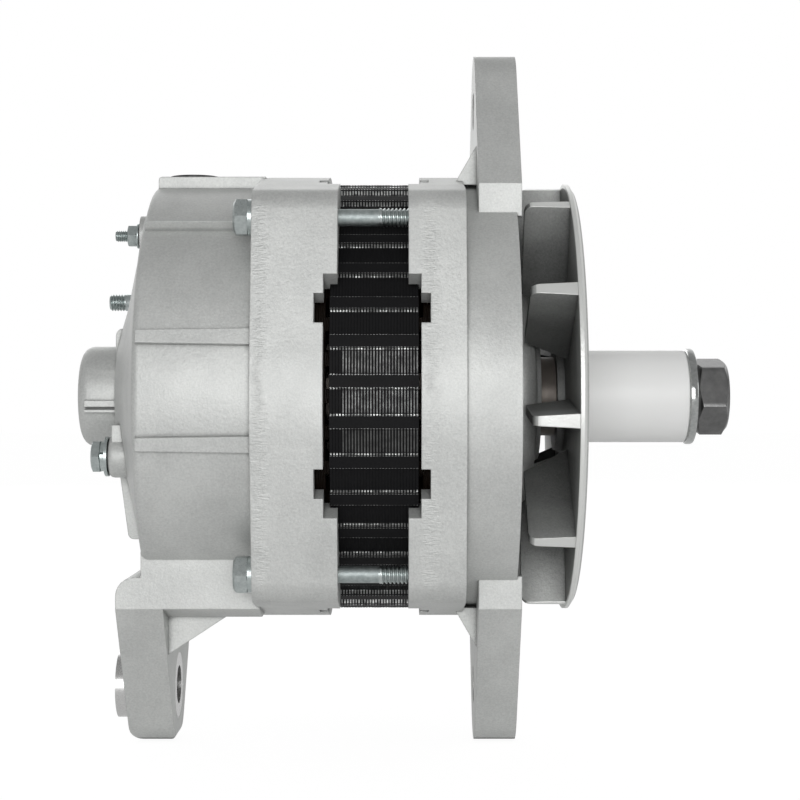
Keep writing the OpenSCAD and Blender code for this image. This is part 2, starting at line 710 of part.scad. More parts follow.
// Out of the rear wall stand the bearing boss, a block above and one below it, and three small bosses
module rear_bosses() {
    on_axis(rear_boss_x) rotate_extrude() polygon(concat([[0, 0]],
        arc(rear_boss_r - 4, 4, 4, -90, 0), [[rear_boss_r, rear_boss_len + rear_wall - 1]],
        [[0, rear_boss_len + rear_wall - 1]]));
    for (rib = [[-3.6, 2.2], [-5.5, 1]]) on_axis(rear_boss_x + 2.8) linear_extrude(rear_boss_len)
        translate([-rear_boss_r - 0.8, rib[0]]) square([4, rib[1]]);
    block_x = rear_rim_x - 12.3;
    across(15.2) polygon(concat([[rear_rim_x, 22.9], [rear_rim_x, -15], [block_x, -15]],
        arc(block_x + 2.5, 20.4, 2.5, 180, 90, 4)));
    across(14) polygon(concat(
        [[rear_rim_x, -48.3], [rear_rim_x, -10], [rear_rim_x - 12.8, -10], [rear_rim_x - 11.2, -26]],
        arc(rear_rim_x - 6.4, -46.3, 2, 187, 270, 4)));
    difference() {
        bar(rear_rim_x - ground_boss_len, ground_boss_len + cut, ground_boss_r, ground_at);
        on_axis(rear_rim_x - ground_boss_len) translate([ground_at[0], ground_at[1], 0]) rotate_extrude()
            polygon(concat([[ground_boss_r + 1, -cut]], arc(ground_boss_r - 2, 2, 2, -90, 0, 4),
                [[ground_boss_r + 1, 2]]));
    }
    on_axis(rear_rim_x - 11.5) linear_extrude(12) translate([-30, -24]) square([20, 14.5]);
    bar(rear_rim_x - relay_boss_len, relay_boss_len + cut, relay_d / 2 + 5, relay_at);
    bar(output_face_x, output_boss_len + cut, output_d / 2 + 4, output_at);
}

// Hollow inside the coned wall, round the posts that carry the electrical parts
module end_hollow() difference() {
    wall = rear_wall + 0.5;
    on_axis(rear_rim_x) rotate_extrude() polygon([
        [24, rear_wall], [24, wall - cone_drop(24)], [35, wall - cone_mid_rise], [58, wall - cone_drop(58)],
        [58, rear_wall]
    ]);
    on_axis(rear_rim_x - cone_rise) linear_extrude(cone_rise + rear_wall + cut) {
        for (a = sink_screw_angles) translate(at_angle(sink_screw_r, a)) circle(7);
        for (at = [output_at, relay_at, ground_at]) translate(at) circle(7.6);
        translate([-17, 15]) square([34, 30]);
        translate([-36, -62]) square([64, 42]);
    }
}

// Slots that let cooling air in through the rear wall
module air_inlets() {
    for (i = [0 : inlet_slots - 1]) on_axis(rear_rim_x - cone_rise - cut)
        linear_extrude(cone_rise + rear_wall + 2 * cut) rotate(-22 + i * 8.4) inlet_shape(36, 57);
}

// Radial slot with round ends
module inlet_shape(from, to) {
    translate([from, -inlet_w / 2]) square([to - from, inlet_w]);
    for (r = [from, to]) translate([r, 0]) circle(d = inlet_w, $fn = 24);
}

// Hole for the plug in the top pad
module plug_hole() translate([plug_x, 0, pivot_drop + panel_r - rear_wall - 1])
    cylinder(h = 20, d = plug_d);

module top_plug() color([0.15, 0.15, 0.16]) translate([plug_x, 0, pivot_drop + top_pad_top - 5])
    cylinder(h = 5 + plug_rise, d = plug_d);

module rear_bearing_cup() color("silver")
    ring(rear_brg_x, rear_brg_w, rear_brg_d / 2 - rear_cup_wall, rear_brg_d / 2);

module rear_bearing_inner_race() color("silver")
    ring(rear_brg_x + 1, rear_brg_w - 2, rear_journal_r, rear_pitch_r - roller_d / 2 - race_fit);

module rear_bearing_rollers() color("lightgrey")
    for (i = [0 : rollers - 1]) bar(rear_brg_x + 2.5, rear_brg_w - 5, roller_d / 2 - race_fit,
        at_angle(rear_pitch_r, i * 360 / rollers));

module rear_bearing_cage() color("goldenrod") difference() {
    ring(rear_brg_x + 1, rear_brg_w - 2, rear_pitch_r - 0.8, rear_pitch_r + 0.8);
    for (i = [0 : rollers - 1]) bar(rear_brg_x + 2.3, rear_brg_w - 4.6, roller_d / 2,
        at_angle(rear_pitch_r, i * 360 / rollers));
}

module positive_heat_sink() color("silver") difference() {
    heat_sink(positive_span, positive_angles);
    bar(sink_x - cut, sink_t + 2 * cut, output_d / 2 - shank_step, output_at);
}

module negative_heat_sink() color("silver") heat_sink(negative_span, negative_angles);

// Crescent plate with fins, and a pressed hole for each diode
module heat_sink(span, seats) difference() {
    union() {
        on_axis(sink_x) linear_extrude(sink_t) ring_part(sink_in_r, sink_out_r, span[0], span[1]);
        on_axis(sink_x + sink_t - cut) linear_extrude(4 + cut)
            for (r = [32 : 3.2 : 36]) ring_part(r, r + 1.4, span[0] + 4, span[1] - 4);
    }
    for (a = seats) bar(sink_x + 1, sink_t + 6, diode_d / 2, at_angle(diode_circle_r, a));
    for (a = sink_screw_angles) bar(sink_x - cut, sink_t + 2 * cut, 2.2, at_angle(sink_screw_r, a));
}

module heat_sink_insulator() color("black") {
    for (a = sink_screw_angles) on_axis(rear_wall_x) translate(at_angle(sink_screw_r, a))
        linear_extrude(sink_standoff) difference() {
            circle(4.4);
            circle(2.2);
        }
}

module heat_sink_screws() color("silver") for (a = sink_screw_angles) {
    bar(rear_wall_x - 2.5, sink_standoff + sink_t + 2.5, 2.2, at_angle(sink_screw_r, a));
    bar(sink_x + sink_t, 2.4, 3.6, at_angle(sink_screw_r, a));
}

// Press-fit diode with its lead
module diode(a) {
    bar(sink_x + 1, diode_body_h, diode_d / 2, at_angle(diode_circle_r, a));
    bar(sink_x + 1 + diode_body_h - cut, sink_t + diode_lead_h - diode_body_h - 1 + cut, 1.1,
        at_angle(diode_circle_r, a));
}

module positive_diodes() color("dimgray") for (a = positive_angles) diode(a);

module negative_diodes() color("dimgray") for (a = negative_angles) diode(a);

module diode_trio() color("darkgreen") on_axis(trio_x) linear_extrude(1.5)
    ring_part(diode_circle_r - 4, slot_out_r - 4, positive_angles[0] - 4, positive_angles[2] + 4);

module voltage_regulator() color([0.12, 0.12, 0.13]) {
    on_axis(rear_wall_x) linear_extrude(11) polygon([
        [-14, -25], [24, -25], [26, -28], [26, -50], [18, -57], [-14, -57]
    ]);
    on_axis(rear_wall_x + 11) linear_extrude(2.4) translate([-9, -52]) square([27, 22]);
}

module capacitor() color("silver") {
    bar(rear_wall_x, 22, 7, [-27, -44]);
    bar(rear_wall_x + 22, 3, 1.5, [-27, -44]);
}

// Insulating block that guides both brushes in two wells, with two ears that screw to the rear wall
module brush_holder() color([0.12, 0.12, 0.13]) difference() {
    back = rear_ring_mid_x - brush_t / 2 - 3;
    half = brush_w / 2 + 3;
    union() {
        on_axis(back) linear_extrude(ring_pitch + brush_t + 6)
            translate([-half, brush_bottom + 2.5]) square([2 * half, holder_top - brush_bottom - 2.5]);
        on_axis(rear_wall_x) linear_extrude(back - rear_wall_x + cut)
            translate([-half, holder_ear_z - 5]) square([2 * half, 10]);
        on_axis(rear_wall_x) linear_extrude(3) {
            translate([-holder_screw_y, holder_ear_z - 5]) square([2 * holder_screw_y, 10]);
            for (side = [-1, 1]) translate([side * holder_screw_y, holder_ear_z]) circle(5);
        }
    }
    for (x = [front_ring_mid_x, rear_ring_mid_x]) {
        translate([x - brush_t / 2 - side_fit, -brush_w / 2 - side_fit, pivot_drop + brush_bottom])
            cube([brush_t + 2 * side_fit, brush_w + 2 * side_fit, brush_len + spring_len]);
        translate([x, 0, pivot_drop + holder_top - 4]) cylinder(h = 6, r = 1.2, $fn = 32);
    }
    for (side = [-1, 1]) bar(rear_wall_x - cut, 3 + 2 * cut, 1.6, [side * holder_screw_y, holder_ear_z]);
}

module brush_holder_screws() color("silver") for (side = [-1, 1]) {
    bar(rear_wall_x - 2.5, 5.5, 1.6, [side * holder_screw_y, holder_ear_z]);
    bar(rear_wall_x + 3, 2, 2.8, [side * holder_screw_y, holder_ear_z]);
}

// Coil spring drawn as the tube that its turns fill
module brush_spring(x) color("silver") translate([x, 0, pivot_drop + brush_top])
    linear_extrude(spring_len) difference() {
        circle(r = brush_t / 2 - 0.2, $fn = 48);
        circle(r = brush_t / 2 - 0.9, $fn = 48);
    }

module front_brush_spring() brush_spring(front_ring_mid_x);

module rear_brush_spring() brush_spring(rear_ring_mid_x);

// Carbon brush whose end is hollowed to the slip ring
module brush(x) color([0.2, 0.2, 0.21]) difference() {
    translate([x - brush_t / 2, -brush_w / 2, pivot_drop + brush_bottom - 1])
        cube([brush_t, brush_w, brush_len + 1]);
    bar(x - slip_ring_w, 2 * slip_ring_w, brush_bottom);
}

module front_brush() brush(front_ring_mid_x);

module rear_brush() brush(rear_ring_mid_x);

module output_stud() color("silver") union() {
    bar(rear_rim_x - output_len, output_seat_x - rear_rim_x + output_len, output_d / 2, output_at);
    bar(output_seat_x, sink_x + sink_t + 3 - output_seat_x, output_d / 2 - shank_step, output_at);
    on_axis(sink_x + sink_t) translate([output_at[0], output_at[1], 0]) linear_extrude(3.4) hexagon(10);
}

// Collar and tube of insulation round the output stud
module output_stud_insulator() color([0.12, 0.12, 0.13])
    stud_insulator(output_face_x, output_at, output_d / 2 - shank_step, 2.5 + shank_step, 5.8,
        output_collar_t, sink_x);

module relay_stud_insulator() color([0.12, 0.12, 0.13])
    stud_insulator(rear_rim_x - relay_boss_len, relay_at, relay_d / 2 - shank_step, 1.6 + shank_step, 4.6,
        relay_collar_t, rear_wall_x + 1.5);

// Sleeve through the rear wall with a flat collar on its boss's outer face
module stud_insulator(face, at, r_in, wall, collar_r, collar_t, end_x) {
    on_axis(face) translate(at) linear_extrude(end_x - face) difference() {
        circle(r_in + wall);
        circle(r_in);
    }
    on_axis(face - collar_t) translate(at) linear_extrude(collar_t) difference() {
        circle(collar_r);
        circle(r_in);
    }
}

// Stations of both studs' stacks, from the collar outwards
output_collar_t = 1.2;
output_seat_x = output_face_x - output_collar_t;
relay_collar_t = 0.6;
relay_washer_t = 0.8;
relay_washer_x = rear_rim_x - relay_boss_len - relay_collar_t - relay_washer_t;
relay_nut_h = 3.2;
relay_free_x = relay_washer_x - relay_nut_h;

module relay_stud() color("silver") {
    bar(rear_rim_x - relay_len, relay_free_x - rear_rim_x + relay_len, relay_d / 2, relay_at);
    bar(relay_free_x, rear_wall_x + 3 - relay_free_x, relay_d / 2 - shank_step, relay_at);
    on_axis(rear_wall_x + 1.5) translate([relay_at[0], relay_at[1], 0]) linear_extrude(2.6) hexagon(7);
}

module relay_stud_washer() color("silver") on_axis(relay_washer_x) translate(relay_at)
    linear_extrude(relay_washer_t) difference() {
        circle(4.4);
        circle(relay_d / 2 - shank_step);
    }

module relay_stud_nut() color("silver") difference() {
    hex_head(relay_free_x, relay_nut_h, 7, relay_at);
    bar(relay_free_x - cut, relay_nut_h + 2 * cut, relay_d / 2 - shank_step, relay_at);
}

// Flat washer and lock washer under the ground screw's head
module ground_screw_washer() color("silver") {
    face = rear_rim_x - ground_boss_len;
    for (w = [[1.2, 1.2, 6.6], [2.6, 1.4, 4.9]])
        on_axis(face - w[0]) translate(ground_at) linear_extrude(w[1]) difference() {
            circle(w[2]);
            circle(ground_d / 2);
        }
}

module ground_screw() color("silver") {
    seat = rear_rim_x - ground_boss_len - 2.6;
    hex_head(seat - 3, 3, 10, ground_at);
    bar(seat, 12, ground_d / 2, ground_at);
}

module through_bolts() color("silver") for (a = ear_angles) {
    at = at_angle(bolt_circle_r, a);
    head_x = rear_flange_x - lock_t;
    thread_x = core_front - 12;
    hex_head(head_x - bolt_head_h, bolt_head_h, bolt_af, at);
    bar(head_x, thread_x - head_x, bolt_shank_d / 2, at);
    bar(thread_x, front_flange_x - 3 - thread_x, bolt_d / 2, at);
}

module through_bolt_washers() color("silver") for (a = ear_angles)
    on_axis(rear_flange_x - lock_t) translate(at_angle(bolt_circle_r, a)) linear_extrude(lock_t)
        difference() {
            circle(bolt_af * 0.52);
            circle(bolt_shank_d / 2);
        }

module rotor_shaft() color("lightgrey") {
    bar(rear_brg_x - 0.9, ring_front_x - rear_brg_x - 8, rear_journal_r);
    bar(rear_brg_x + rear_brg_w, pole_rear_x - rear_brg_x - rear_brg_w, ring_shaft_d / 2);
    bar(pole_rear_x, pole_front_x - pole_rear_x, core_shaft_d / 2);
    bar(pole_front_x, front_brg_x - pole_front_x, shoulder_r);
    bar(front_brg_x, front_brg_w, core_shaft_d / 2);
    bar(front_brg_front_x, thread_start_x - front_brg_front_x, pulley_seat_d / 2);
    bar(thread_start_x, shaft_end_x - thread_start_x, shaft_thread_d / 2);
}

// Pole piece: a round web, and tapered claws that reach over the coil
module pole_piece() {
    claw_base_r = coil_r - 3;
    difference() {
        cylinder(h = pole_web, r = claw_base_r + 2);
        translate([0, 0, -cut]) cylinder(h = pole_web + 2 * cut, r = core_shaft_d / 2);
    }
    intersection() {
        for (i = [0 : claws - 1]) rotate(i * 360 / claws) rotate([90, 0, 90])
            translate([0, 0, claw_base_r - 1]) linear_extrude(rotor_r - claw_base_r + 1 + cut) polygon([
                [-claw_root_w / 2, 0], [claw_root_w / 2, 0], [claw_root_w / 2, pole_web - 1],
                [claw_tip_w / 2, claw_len], [-claw_tip_w / 2, claw_len], [-claw_root_w / 2, pole_web - 1]
            ]);
        rotate_extrude() polygon([
            [claw_base_r, -cut], [rotor_r - 3, -cut], [rotor_r, 2], [rotor_r, claw_len + cut],
            [rotor_r - claw_tip_t, claw_len + cut], [coil_r + 1.2, pole_web], [claw_base_r, pole_web]
        ]);
    }
}

module front_pole_piece() color("dimgray") on_axis(pole_front_x) mirror([0, 0, 1]) pole_piece();

module rear_pole_piece() color("dimgray") on_axis(pole_rear_x) rotate(180 / claws) pole_piece();

module rotor_core() color("dimgray") ring(pole_rear_x + pole_web, coil_len, core_shaft_d / 2, core_r);

module coil_bobbin() color("ivory") {
    ring(pole_rear_x + pole_web, 1.5, core_r + 1.5, coil_r - 1);
    ring(pole_front_x - pole_web - 1.5, 1.5, core_r + 1.5, coil_r - 1);
    ring(pole_rear_x + pole_web, coil_len, core_r, core_r + 1.5);
}

module field_coil() color("sienna") ring(pole_rear_x + pole_web + 1.5, coil_len - 3, core_r + 1.5, coil_r);

module slip_rings() color("peru") for (i = [0, 1])
    ring(ring_front_x - slip_ring_w - i * ring_pitch, slip_ring_w, ring_sleeve_r, slip_ring_d / 2);

module slip_ring_sleeve() color([0.2, 0.12, 0.1]) {
    back = ring_front_x - 2 * slip_ring_w - 3;
    ring(back - 1.5, 2 * slip_ring_w + 6, ring_shaft_d / 2, ring_sleeve_r);
    ring(back + slip_ring_w, 3, ring_sleeve_r, slip_ring_d / 2 + 0.6);
}

module fan_spacer() color("silver")
    ring(front_brg_front_x, fan_front - fan_disc_t - 2.6 - front_brg_front_x, pulley_seat_d / 2, spacer_r);

// Fan: a disc with a thick hub and flat radial blades on its rear face
module fan() color("gainsboro") difference() {
    back = fan_front - fan_disc_t;
    union() {
        on_axis(back) rotate_extrude() polygon([
            [0, 0], [fan_r, 0], [fan_r, fan_disc_t - 1.4], [fan_r - 2.2, fan_disc_t], [0, fan_disc_t]
        ]);
        on_axis(back - 2.6) cylinder(h = 3, r = spacer_r + 5);
        intersection() {
            union() for (a = blade_angles) on_axis(back - blade_h) rotate(180 + a)
                rotate([90, 0, 90]) linear_extrude(fan_r) polygon([
                    [-blade_tip_t / 2, 0], [blade_tip_t / 2, 0],
                    [blade_root_t / 2, blade_h + 0.2], [-blade_root_t / 2, blade_h + 0.2]
                ]);
            on_axis(back - blade_h) rotate_extrude() polygon(concat(
                [[blade_in_r, blade_h + 0.5], [blade_in_r + 10, 0]],
                arc(fan_r - 1 - 3, 3, 3, -90, 0), [[fan_r - 1, blade_h + 0.5]]));
        }
    }
    on_axis(back - 5) cylinder(h = fan_disc_t + 10, r = pulley_seat_d / 2);
}

module shipping_sleeve() color("white") ring(fan_front, sleeve_len, pulley_seat_d / 2, sleeve_d / 2);

module pulley_washer() color("silver")
    ring(fan_front + sleeve_len, washer_t, shaft_thread_d / 2, washer_d / 2);

module pulley_nut() color([0.3, 0.3, 0.31]) difference() {
    x = fan_front + sleeve_len + washer_t;
    intersection() {
        on_axis(x) linear_extrude(nut_h) rotate(180 + 14.8) hexagon(nut_af);
        on_axis(x) rotate_extrude() polygon([
            [0, 0], [nut_af / 2, 0], [nut_af / 2 + 4, 1.6], [nut_af / 2 + 4, nut_h - 1.9],
            [nut_af / 2 - 0.4, nut_h], [0, nut_h]
        ]);
    }
    bar(x - cut, nut_h + 2 * cut, shaft_thread_d / 2);
}

module pivot_bushing() color("silver") difference() {
    bar(foot_rear_x - bushing_travel, foot_t + bushing_travel, bushing_d / 2, [0, -pivot_drop]);
    bar(foot_rear_x - bushing_travel - cut, foot_t + bushing_travel + 2 * cut, mount_bore / 2,
        [0, -pivot_drop]);
}

drive_end_frame();
front_bearing_outer_race();
bearing_retainer();
bearing_retainer_screws();
stator_core();
stator_winding();
phase_leads();
rear_frame();
rear_bearing_cup();
positive_heat_sink();
negative_heat_sink();
heat_sink_insulator();
positive_diodes();
negative_diodes();
diode_trio();
heat_sink_screws();
voltage_regulator();
brush_holder();
brush_holder_screws();
front_brush_spring();
rear_brush_spring();
capacitor();
output_stud();
output_stud_insulator();
relay_stud();
relay_stud_nut();
relay_stud_washer();
relay_stud_insulator();
ground_screw();
ground_screw_washer();
through_bolts();
through_bolt_washers();
top_plug();
rotor_shaft();
front_pole_piece();
rear_pole_piece();
rotor_core();
coil_bobbin();
field_coil();
slip_rings();
slip_ring_sleeve();
front_bearing_inner_race();
rear_bearing_inner_race();
fan_spacer();
fan();
shipping_sleeve();
pulley_washer();
pulley_nut();
front_bearing_balls();
front_bearing_cage();
rear_bearing_rollers();
rear_bearing_cage();
front_brush();
rear_brush();
pivot_bushing();
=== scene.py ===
"""Looks of a heavy-duty alternator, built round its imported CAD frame. Lengths are metres, as in the frame."""
import math

import bmesh
import bpy
import numpy as np
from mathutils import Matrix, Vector


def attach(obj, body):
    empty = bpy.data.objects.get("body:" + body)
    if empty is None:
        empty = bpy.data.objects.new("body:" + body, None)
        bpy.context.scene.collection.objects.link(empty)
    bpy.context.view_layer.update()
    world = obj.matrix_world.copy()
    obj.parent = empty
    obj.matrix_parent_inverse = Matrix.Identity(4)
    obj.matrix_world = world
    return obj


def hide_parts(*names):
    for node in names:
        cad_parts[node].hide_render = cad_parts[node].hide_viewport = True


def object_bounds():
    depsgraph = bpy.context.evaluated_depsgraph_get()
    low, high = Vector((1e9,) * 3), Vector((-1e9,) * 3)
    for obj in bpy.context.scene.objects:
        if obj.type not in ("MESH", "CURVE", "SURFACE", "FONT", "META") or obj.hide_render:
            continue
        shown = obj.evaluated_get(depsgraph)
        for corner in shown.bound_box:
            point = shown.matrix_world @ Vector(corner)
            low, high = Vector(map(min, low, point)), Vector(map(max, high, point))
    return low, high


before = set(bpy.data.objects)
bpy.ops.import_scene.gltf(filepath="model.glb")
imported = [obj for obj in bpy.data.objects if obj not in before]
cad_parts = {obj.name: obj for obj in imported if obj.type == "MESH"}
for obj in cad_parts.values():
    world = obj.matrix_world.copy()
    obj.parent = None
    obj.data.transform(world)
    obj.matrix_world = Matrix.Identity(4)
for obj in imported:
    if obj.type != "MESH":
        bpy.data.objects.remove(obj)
cad_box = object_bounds()


# Table, backdrop and studio light
# The real thing stands on white paper, under one large soft box near the camera, with a weaker fill round it.
# The camera looks square across the shaft, just below its height and a little towards the rear end.
AXIS_Z = 0.0994
LENS_MM = 83.57
SENSOR_MM = 36
CAMERA_AT = (-0.0323, -0.6416, 0.09816)
camera = bpy.data.cameras.new("camera")
camera.lens = LENS_MM
camera.sensor_width = SENSOR_MM
camera.clip_start = 0.01
camera.clip_end = 20
camera_object = bpy.data.objects.new("camera", camera)
camera_object.location = CAMERA_AT
camera_object.rotation_euler = (math.radians(90), 0, 0)
bpy.context.scene.collection.objects.link(camera_object)
bpy.context.scene.camera = camera_object
bpy.context.scene.view_settings.view_transform = "Standard"


class Wire:
    """One output of a node tree. Arithmetic on it adds the Math node that works it out."""

    def __init__(self, tree, socket):
        self.tree = tree
        self.socket = socket

    def beside(self, out):
        """Another output of the same node."""
        return Wire(self.tree, self.socket.node.outputs[out])

    def maths(self, operation, *values):
        return add_node(self.tree, "ShaderNodeMath", {"operation": operation}, dict(enumerate(values)))

    def __add__(self, other):
        return self.maths("ADD", self, other)

    def __sub__(self, other):
        return self.maths("SUBTRACT", self, other)

    def __rsub__(self, other):
        return self.maths("SUBTRACT", other, self)

    def __mul__(self, other):
        return self.maths("MULTIPLY", self, other)

    def __truediv__(self, other):
        return self.maths("DIVIDE", self, other)

    def __gt__(self, other):
        return self.maths("GREATER_THAN", self, other)

    def __lt__(self, other):
        return self.maths("LESS_THAN", self, other)

    def __abs__(self):
        return self.maths("ABSOLUTE", self)

    __radd__ = __add__


def add_node(tree, kind, settings=None, inputs=None, out=0):
    """Adds a node with its settings and the values or links of its inputs, and gives one of its outputs.
    A ramp's stops are pairs of a place and a grey level."""
    node = tree.nodes.new(kind)
    for name, value in (settings or {}).items():
        if name == "stops":
            ramp = node.color_ramp.elements
            while len(ramp) < len(value):
                ramp.new(1)
            for element, (place, level) in zip(ramp, value):
                element.position = place
                element.color = (level, level, level, 1)
        else:
            setattr(node, name, value)
    for name, value in (inputs or {}).items():
        if isinstance(value, Wire):
            tree.links.new(value.socket, node.inputs[name])
        else:
            node.inputs[name].default_value = value
    return Wire(tree, node.outputs[out])


class Finish:
    """A surface finish under construction: one material whose nodes read the place on the object."""

    def __init__(self, name, **plain):
        self.material = bpy.data.materials.new(name)
        self.material.use_nodes = True
        self.tree = self.material.node_tree
        self.shader = self.tree.nodes["Principled BSDF"]
        self.place = self.node("ShaderNodeTexCoord", out="Object")
        self.set(**plain)

    def node(self, kind, settings=None, inputs=None, out=0):
        """A node of this material, by add_node."""
        return add_node(self.tree, kind, settings, inputs, out)

    def set(self, **values):
        """Sets sockets of the shader, written with _ for a space; a grey level or a plain colour will do."""
        for name, value in values.items():
            socket = self.shader.inputs[name.replace("_", " ")]
            if isinstance(value, Wire):
                self.tree.links.new(value.socket, socket)
            elif isinstance(value, tuple):
                socket.default_value = (*value, 1)
            else:
                socket.default_value = value

    def noise(self, size, detail=3, rough=0.55, place=None):
        """Cloudy noise whose blotches are about size metres across, from 0 to 1."""
        return self.node("ShaderNodeTexNoise", None, {
            "Vector": place or self.place, "Scale": 1 / size, "Detail": detail, "Roughness": rough})

    def stretched(self, factors):
        """The place with each axis multiplied, so that a noise gets drawn out."""
        return self.node("ShaderNodeMapping", None, {"Vector": self.place, "Scale": factors})

    def axes(self):
        """The place's three coordinates."""
        x = self.node("ShaderNodeSeparateXYZ", None, {0: self.place})
        return x, x.beside("Y"), x.beside("Z")

    def steps(self, value, *stops):
        """A smooth ramp through pairs of a value from 0 to 1 and a grey level."""
        return self.node("ShaderNodeValToRGB", {"stops": stops}, {0: value})

    def blend(self, share, first, second, how="MIX"):
        """Mixes two colours, each a wire or a plain colour."""
        colours = [c if isinstance(c, Wire) else (*c, 1) for c in (first, second)]
        return self.node("ShaderNodeMix", {"data_type": "RGBA", "blend_type": how}, {
            0: share, 6: colours[0], 7: colours[1]}, out=2)

    def bump(self, height, depth, strength=1.0, under=None):
        """A relief whose full height is depth metres, laid over an earlier relief."""
        inputs = {"Height": height, "Distance": depth, "Strength": strength}
        if under:
            inputs["Normal"] = under
        return self.node("ShaderNodeBump", None, inputs)


LAMPS_AIM = Vector((-0.03, 0, 0.09))


def softbox(name, place, size, power):
    """A square lamp at place that faces the middle of the part."""
    lamp = bpy.data.lights.new(name, "AREA")
    lamp.size = size
    lamp.energy = power
    holder = bpy.data.objects.new(name, lamp)
    holder.location = place
    direction = LAMPS_AIM - holder.location
    holder.rotation_euler = direction.to_track_quat("-Z", "Y").to_euler()
    bpy.context.scene.collection.objects.link(holder)


softbox("front box", (-0.08, -1.6, 0.2), 0.9, 12)
softbox("right box", (1.4, -0.5, 0.4), 0.7, 2)
softbox("back fill", (-0.4, 1.6, 0.8), 1.2, 5)

world = bpy.data.worlds.new("studio")
world.use_nodes = True
bpy.context.scene.world = world
studio = world.node_tree
seen = add_node(studio, "ShaderNodeLightPath", out="Is Camera Ray")
glossy = seen.beside("Is Glossy Ray")
through = seen.beside("Is Transmission Ray")
sky_direction = add_node(studio, "ShaderNodeTexCoord", out="Generated")
sky_depth = add_node(studio, "ShaderNodeSeparateXYZ", None, {0: sky_direction}, out="Y")
sky_height = sky_depth.beside("Z")
backdrop_stops = [(0.74, 0.0), (0.95, 0.5)]
backdrop = add_node(studio, "ShaderNodeValToRGB", {"stops": backdrop_stops}, {0: sky_depth * 0.5 + 0.5})
glow_stops = [(0.0, 0.4), (0.47, 0.5), (0.56, 0.5), (1.0, 0.42)]
sky_glow = add_node(studio, "ShaderNodeValToRGB", {"stops": glow_stops}, {0: sky_height * 0.5 + 0.5})
FILL_LEVEL = 0.38
in_gloss = glossy * (sky_glow + backdrop)
as_light = (1 - glossy) * ((1 - through) * FILL_LEVEL + through)
level = (1 - seen) * (in_gloss + as_light) + seen
background = studio.nodes["Background"]
background.inputs["Color"].default_value = (1, 1, 1, 1)
studio.links.new(level.socket, background.inputs["Strength"])

floor_mesh = bpy.data.meshes.new("floor")
floor_z = cad_box[0][2] - 0.0002
FLOOR_HALF = 6
floor_corners = [(x * FLOOR_HALF, y * FLOOR_HALF, floor_z) for x, y in ((-1, -1), (1, -1), (1, 1), (-1, 1))]
floor_mesh.from_pydata(floor_corners, [], [(0, 1, 2, 3)])
floor = bpy.data.objects.new("floor", floor_mesh)
bpy.context.scene.collection.objects.link(floor)
paper = Finish("white paper", Base_Color=(0.86, 0.86, 0.86), Roughness=0.9)
paper_glow = paper.node("ShaderNodeEmission", None, {"Color": (1, 1, 1, 1), "Strength": 1.1})
paper_seen = paper.node("ShaderNodeLightPath", out="Is Camera Ray")
paper_share = paper_seen * 0.86 + paper_seen.beside("Is Glossy Ray") * 0.4
paper_mix = paper.node("ShaderNodeMixShader", None, {
    0: paper_share, 1: Wire(paper.tree, paper.shader.outputs[0]), 2: paper_glow})
paper.tree.links.new(paper_mix.socket, paper.tree.nodes["Material Output"].inputs["Surface"])
floor_mesh.materials.append(paper.material)


# Drive-end frame
# One sand casting in aluminium with the flange, the vented wall and both hinge lugs, blasted with shot.
# Its edges are rounded by the mould, and the flange keeps the fine strokes of its fettling.
def cast_finish(name, pale, dark, radius, strokes=(), pocket_shade=1.0, lathe=1.0):
    """Shot-blasted cast aluminium: blotches of two greys, a fine orange-peel relief, edges rounded to a
    radius, and painted shade that darkens inner corners and deep hollows. strokes are stretches along the
    shaft where a hand grinder left slanted scratches, pocket_shade is the grey of the painted shade at the
    bottom of deep hollows, and all that lies farther than lathe from the shaft's axis was turned on a lathe,
    so that it is paler and smoother."""
    finish = Finish(name, Metallic=0.55)
    blotch = finish.noise(0.016, 4)
    speck = finish.noise(0.0007, 3, 0.7)
    peel = finish.noise(0.0016, 3, 0.6)
    tone = finish.steps(blotch * 0.4 + speck * 0.6, (0.36, 0.0), (0.62, 1.0))
    colour = finish.blend(tone, dark, pale)
    # Painted shade: ambient occlusion within about 2 mm darkens the colour in inner corners and creases.
    corner = finish.node("ShaderNodeAmbientOcclusion", {"samples": 6}, {"Distance": 0.0022}, out="AO")
    colour = finish.blend(1.0, colour, finish.steps(corner, (0.3, 0.3), (0.8, 1.0)), "MULTIPLY")
    # Painted shade: occlusion within 3 cm darkens the colour at the bottom of deep hollows, down to the given
    # grey.
    depth = finish.node("ShaderNodeAmbientOcclusion", {"samples": 6}, {"Distance": 0.03}, out="AO")
    colour = finish.blend(1.0, colour, finish.steps(depth, (0.1, pocket_shade), (0.75, 1.0)), "MULTIPLY")
    relief = finish.node("ShaderNodeBevel", {"samples": 6}, {"Radius": radius})
    relief = finish.bump(peel, 0.00016, 0.6, relief)
    relief = finish.bump(speck, 0.00009, 0.7, relief)
    scratch_place = finish.node("ShaderNodeMapping", None, {
        "Vector": finish.place, "Rotation": (0.0, math.radians(28), 0.0), "Scale": (420, 900, 2100)})
    scratches = finish.noise(1, 3, 0.6, scratch_place)
    place_x, place_y, place_z = finish.axes()
    for start, end in strokes:
        wander = finish.noise(0.004, 3) * 0.005 - 0.0025
        inside = 1 - abs(place_x + wander - (start + end) / 2) / ((end - start) / 2)
        mask = finish.steps(inside, (0.0, 0.0), (0.8, 1.0)) * finish.steps(blotch, (0.38, 0.15), (0.5, 1.0))
        relief = finish.bump(scratches * mask, 0.0004, 0.75, relief)
    height = place_z - AXIS_Z
    turned_face = (place_y * place_y + height * height) > lathe ** 2
    colour = finish.blend(turned_face, colour, (0.78, 0.79, 0.77))
    finish.set(Base_Color=colour, Roughness=speck * 0.16 + 0.44 - turned_face * 0.14, Normal=relief)
    return finish


